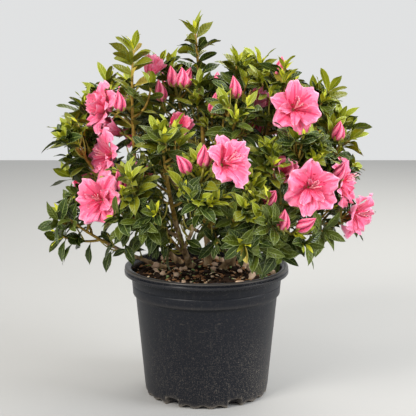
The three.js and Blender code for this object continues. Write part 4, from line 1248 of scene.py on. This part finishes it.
def petals(table):
    """Points of many petals. Each row of the table is: centre (3), facing (3), turn, reach, half width,
    depth of the throat, lift, curl, cup, ruffle and phase. The reach grows as 0.05 + 0.95 s, cut back at the
    rim's corners, notched by a wave and drawn out to a small point in the middle. The half width is
    W sin(pi (0.07 + 0.63 s))^0.9. The height is a funnel, -depth (1 - s)^2.2, plus lift times s, minus curl
    times s cubed, plus the cup across it and two waves that grow to the rim, less the furrow."""
    centre, facing = table[:, None, None, :3], table[:, None, None, 3:6]
    turn, reach, wide, depth, lift, curl, cup, ruffle, phase = table.T[6:15, :, None, None]
    s, u = petal_s, petal_u
    furrow = np.exp(-((u / 0.16) ** 2))
    rim = 1 - 0.34 * np.abs(u) ** 2.8 * s**2 + 0.03 * furrow * s**6 + 0.035 * np.sin(7 * u + 2 * phase) * s**4
    far = reach * (0.05 + 0.95 * s) * rim
    across = wide * u * np.sin(math.pi * (0.07 + 0.63 * s)) ** 0.9 * (1 + 0.06 * np.sin(5 * s + phase))
    height = -depth * (1 - s) ** 2.2 + lift * s - curl * s**3 + 2 * cup * u**2 * (0.25 + s * (1 - s))
    height = height + ruffle * s**1.6 * np.abs(u) ** 1.3 * np.sin(3.6 * u + 5.5 * s + phase)
    height = height + 0.55 * ruffle * s**3 * np.sin(8.5 * u + 2.3 * phase)
    height = height - 0.09 * reach * furrow * s * (1.15 - s)
    parts = zip((around(facing, turn), around(facing, turn + math.pi / 2), facing), (far, across, height))
    return centre + sum(axis * size[..., None] for axis, size in parts)


def rings_of_petals(flower, number):
    """The petal table of one open flower: six outer lobes, two folded petals and two petaloids."""
    found = []
    start = 2 * math.pi * seeded(number, 1, 21)
    for count, seed, first_turn, step, turn_spread, every_other, mean, spread in PETAL_RINGS:
        for k in range(count):
            draw = draws(number, k, seed, 6)
            form = BLOOM_RADIUS * (np.array(mean) + np.array(spread) * draw[DRAW_FOR])
            form[3] += BLOOM_RADIUS * every_other * (k % 2)
            turn = start + first_turn + step * k + turn_spread * draw[0]
            found.append([*flower["centre"], *flower["facing"], turn, *form, 6.3 * draw[5]])
    return found


open_flowers = [f for f in flowers if f["kind"] == "open"]
petal_rows = [row for i, f in enumerate(open_flowers) for row in rings_of_petals(f, i)]
print("petals:", len(petal_rows))

# %% [markdown]
# Half-open flowers are seven narrower petals that still stand close, leaning out at their rims.

# %% Add the half-open flowers
THROAT, FURROW, BLADE, LIGHT, RIM, FLECK = range(6)
HALF_OPEN_PETALS = 7

for i, flower in enumerate(f for f in flowers if f["kind"] == "half"):
    seat = flower["centre"] + 4 * flower["facing"]
    for k in range(HALF_OPEN_PETALS):
        draw, inner = draws(90 + i, k, 60, 3), k % 2
        petal_rows.append([*seat, *flower["facing"], k * 0.9 + 0.2 * draw[0], 22 - 9 * inner + 4 * draw[1],
                           13 - 2 * inner, 20, 10 + 8 * inner, -5, 7, 2.8, 6.3 * draw[2]])
petal_table = np.array(petal_rows)
count = len(petal_table)

cell_s = 0.5 * (petal_s[1:] + petal_s[:-1])
cell_u = np.abs(0.5 * (petal_u[:, 1:] + petal_u[:, :-1]))
petal_number = np.arange(count)[:, None, None]
draw = seeded(petal_number, cell_s * 17, petal_u[:, 1:] * 31)
streak = seeded(petal_number, petal_u[:, 1:] * 53, 7) - 0.5
upper = (np.sin(petal_table[:, 6]) > 0.3)[:, None, None]
zones = np.select([
    upper & (draw > 0.86) & (cell_s > 0.22) & (cell_s < 0.52) & (cell_u < 0.5),
    cell_s < 0.26 - 0.1 * cell_u + 0.3 * streak,
    (cell_u < 0.1) & (cell_s < 0.7 + 0.3 * streak),
    (cell_s > 0.95) | (cell_u > 0.93) & (cell_s > 0.5),
    cell_s + 0.25 * cell_u + 0.45 * streak > 0.76,
], [FLECK, THROAT, FURROW, RIM, LIGHT], BLADE)


def petal_finish(name, colour):
    """Thin petal tissue of one pink: soft sheen, light that goes through a little, and fine creases."""
    finish = Finish(name, colour, 0.55, Specular_IOR_Level=0.35, Sheen_Weight=0.25, Sheen_Roughness=0.4,
                    Subsurface_Weight=0.25, Subsurface_Radius=(0.004, 0.0015, 0.0015), Subsurface_Scale=1.0)
    finish.relief(finish.noise(9, 3, 0.6, (1.8, 0.25, 1), finish.place()), 1.5)
    return finish.material


PINKS = {
    "throat": (0.77, 0.034, 0.128), "furrow": (0.83, 0.058, 0.180), "blade": (0.91, 0.134, 0.274),
    "light": (0.95, 0.235, 0.392), "rim": (0.97, 0.390, 0.540), "fleck": (0.64, 0.020, 0.085),
}
pinks = [petal_finish(f"petal_{zone}", colour) for zone, colour in PINKS.items()]
local = np.stack(np.broadcast_arrays(0.5 + 0.5 * petal_u, petal_s), -1).reshape(-1, 2)
petal_quads = repeated(grid_quads(PETAL_ROWS, PETAL_COLUMNS), count, len(local))
petal_place = np.column_stack([np.tile(local, (count, 1)), np.repeat(0.7 * np.arange(count), len(local))])
petal_chart = chart_cells(count, local)
as_piece("petals", petals(petal_table), petal_quads, None, pinks, zones, petal_place, petal_chart)

# %% [markdown]
# ## Buds
# A bud is a spindle of furled petals: five folds wind round it, in a cup of narrow green sepals. The dips
# between the folds are a darker pink, painted shade, and their crests a paler pink, painted highlight. It
# could be petals rolled one over another, but they never open. So the radius is a spindle's, and a wave
# round it makes the folds.

# %% Roll the buds
BUD_RINGS, BUD_COLUMNS = 16, 56
BUD_SEAT = 0.44  # share of the bud's length below its centre
FOLDS = 5
BUD_RADIUS = 10.0
BUD_TWIST = 1.3  # turn of the folds from seat to tip, in radians
# The seam pink is painted shade in the dips between folds; the ridge pink is painted highlight on their
# crests.
BUD_PINKS = {"seam_painted_shade": (0.34, 0.010, 0.055), "back": (0.69, 0.066, 0.175), "ridge_painted_highlight": (0.90, 0.240, 0.360)}
ENDS = np.array([0.0, 1.0])


def spindles(centre, facing, turn, radius, lift, end_lift):
    """Round forms on straight axes: rings of a radius at heights lift along the facing, then both ends."""
    centre, facing = centre[:, None, None], facing[:, None, None]
    rings = centre + around(facing, turn) * radius[..., None] + facing * lift[..., None]
    ends = centre[:, 0] + facing[:, 0] * end_lift[..., None]
    return np.concatenate([rings.reshape(len(rings), -1, 3), ends], 1)


# The radius is R sin(pi s^0.62)^0.95 with a drawn-out tip, and it dips between the folds.
buds = [f for f in flowers if f["kind"] == "bud"]
s, turn = np.linspace(0.015, 0.985, BUD_RINGS)[:, None], full_turn(BUD_COLUMNS)
seed = np.arange(len(buds))[:, None, None]
fold = np.abs(np.sin(FOLDS / 2 * (turn - BUD_TWIST * s + seed)))
radius = (BUD_RADIUS + 1.8 * seeded(seed, 2, 71)) * np.sin(math.pi * s**0.62) ** 0.95
radius = radius * (0.76 + 0.28 * fold**0.7)
length = BUD_LENGTH * (0.83 + 0.16 * seeded(seed, 3, 71))
bud_centre, bud_facing = (np.array([f[key] for f in buds]) for key in ("centre", "facing"))
bud_ends = length[:, 0] * (ENDS - BUD_SEAT)
bud_points = spindles(bud_centre, bud_facing, turn, radius, length * (s - BUD_SEAT), bud_ends)
# Faces in the dips between folds get the seam pink, painted shade, and those on the crests the ridge pink,
# painted highlight.
beside = fold + np.roll(fold, -1, 2)
bud_zone = np.digitize(0.25 * (beside[:, 1:] + beside[:, :-1]), [0.33, 0.86])
bud_zones = np.append(bud_zone, np.ones(len(buds) * 2 * BUD_COLUMNS, int))
bud_pinks = [petal_finish(f"bud_{zone}", colour) for zone, colour in BUD_PINKS.items()]
as_piece("buds", bud_points, *round_faces(BUD_RINGS, BUD_COLUMNS, len(buds)), bud_pinks, bud_zones)

# %% [markdown]
# ## Sepals, stamens and pistil
# Each flower and bud stands in a cup of small yellow-green sepals. An open azalea shows slender pink stamens
# that arch upwards with dark anthers, and one longer pistil with a knob. Sepals reuse the leaf's formula, and
# stamens are thin tubes that end in small beads, because cards with pictures would show their edges.

# %% Make the sepals
SEPALS = 6
sepal_rows = []
for number, flower in enumerate(flowers):
    facing, is_bud = flower["facing"], flower["kind"] == "bud"
    steep, curl, length = (0.1, 1.5, 13) if is_bud else (0.8, 0.8, 12)
    for k in range(SEPALS):
        out = around(facing, 2 * math.pi * k / SEPALS + number)
        start = flower["stalk"][2] - 1.5 * facing + 1.3 * out
        size = length + 5 * seeded(number, k, 81)
        along = unit(steep * facing + out)
        sepal_rows.append([*start, *along, *(steep * out - facing), size, curl, 0.3, FRESH, k, 0.9])
sepal_green = grained("sepal_green", (0.34, 0.27, 0.05), 0.5, (600, 2), 0.15)
sepals = as_piece("sepals", *leaf_mesh(np.array(sepal_rows))[0], [sepal_green])

# %% Make the stamens and pistils
STAMENS = 9  # the first is the pistil
PISTIL_LENGTH, STAMEN_LENGTH = 35, 25
BEAD_COLUMNS = 6
BEAD_SEAT = 0.3
stamen_lines, beads = [], []
for number, flower in enumerate(open_flowers):
    facing = flower["facing"]
    root = flower["centre"] - 0.42 * BLOOM_RADIUS * facing
    for k in range(STAMENS):
        out = around(facing, 2 * math.pi * k / STAMENS + seeded(number, k, 90))
        tall = PISTIL_LENGTH if k == 0 else STAMEN_LENGTH + 8 * seeded(number, k, 91)
        arch = unit(UP + 0.8 * around(facing, 0.0))
        tip = root + tall * facing + (0.2 * tall) * out + 0.34 * tall * arch
        stamen_lines.append((np.array([root, root + 0.5 * tall * facing, tip]), 0.0, 0.55, 0.4))
        beads.append([*tip, *unit(tip - root), 1.5 if k == 0 else 1.15])
filament = grained("filament_pink", (0.96, 0.48, 0.52), 0.45, (900, 2), 0.05)
as_piece("stamens", *young_tubes(stamen_lines, 7), [filament])

beads = np.array(beads)
s = np.linspace(0.05, 0.95, 4)[:, None]
size = beads[:, 6][:, None, None]
lift, bead_ends = 2.2 * size * (s - BEAD_SEAT), 2.2 * size[:, 0] * (ENDS - BEAD_SEAT)
radius = 0.5 * size * np.sin(math.pi * s)
bead_points = spindles(beads[:, :3], beads[:, 3:6], full_turn(BEAD_COLUMNS), radius, lift, bead_ends)
anther = grained("anther_plum", (0.16, 0.045, 0.05), 0.6, (1500, 2), 0.1)
as_piece("anthers", bead_points, *round_faces(len(s), BEAD_COLUMNS, len(beads)), [anther])

# %% Measure the sizes and count the triangles
low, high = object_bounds()
triangles = sum(len(p.vertices) - 2 for o in bpy.data.objects if o.type == "MESH" and not o.hide_render
                for p in o.data.polygons)
print("triangles shown:", triangles)
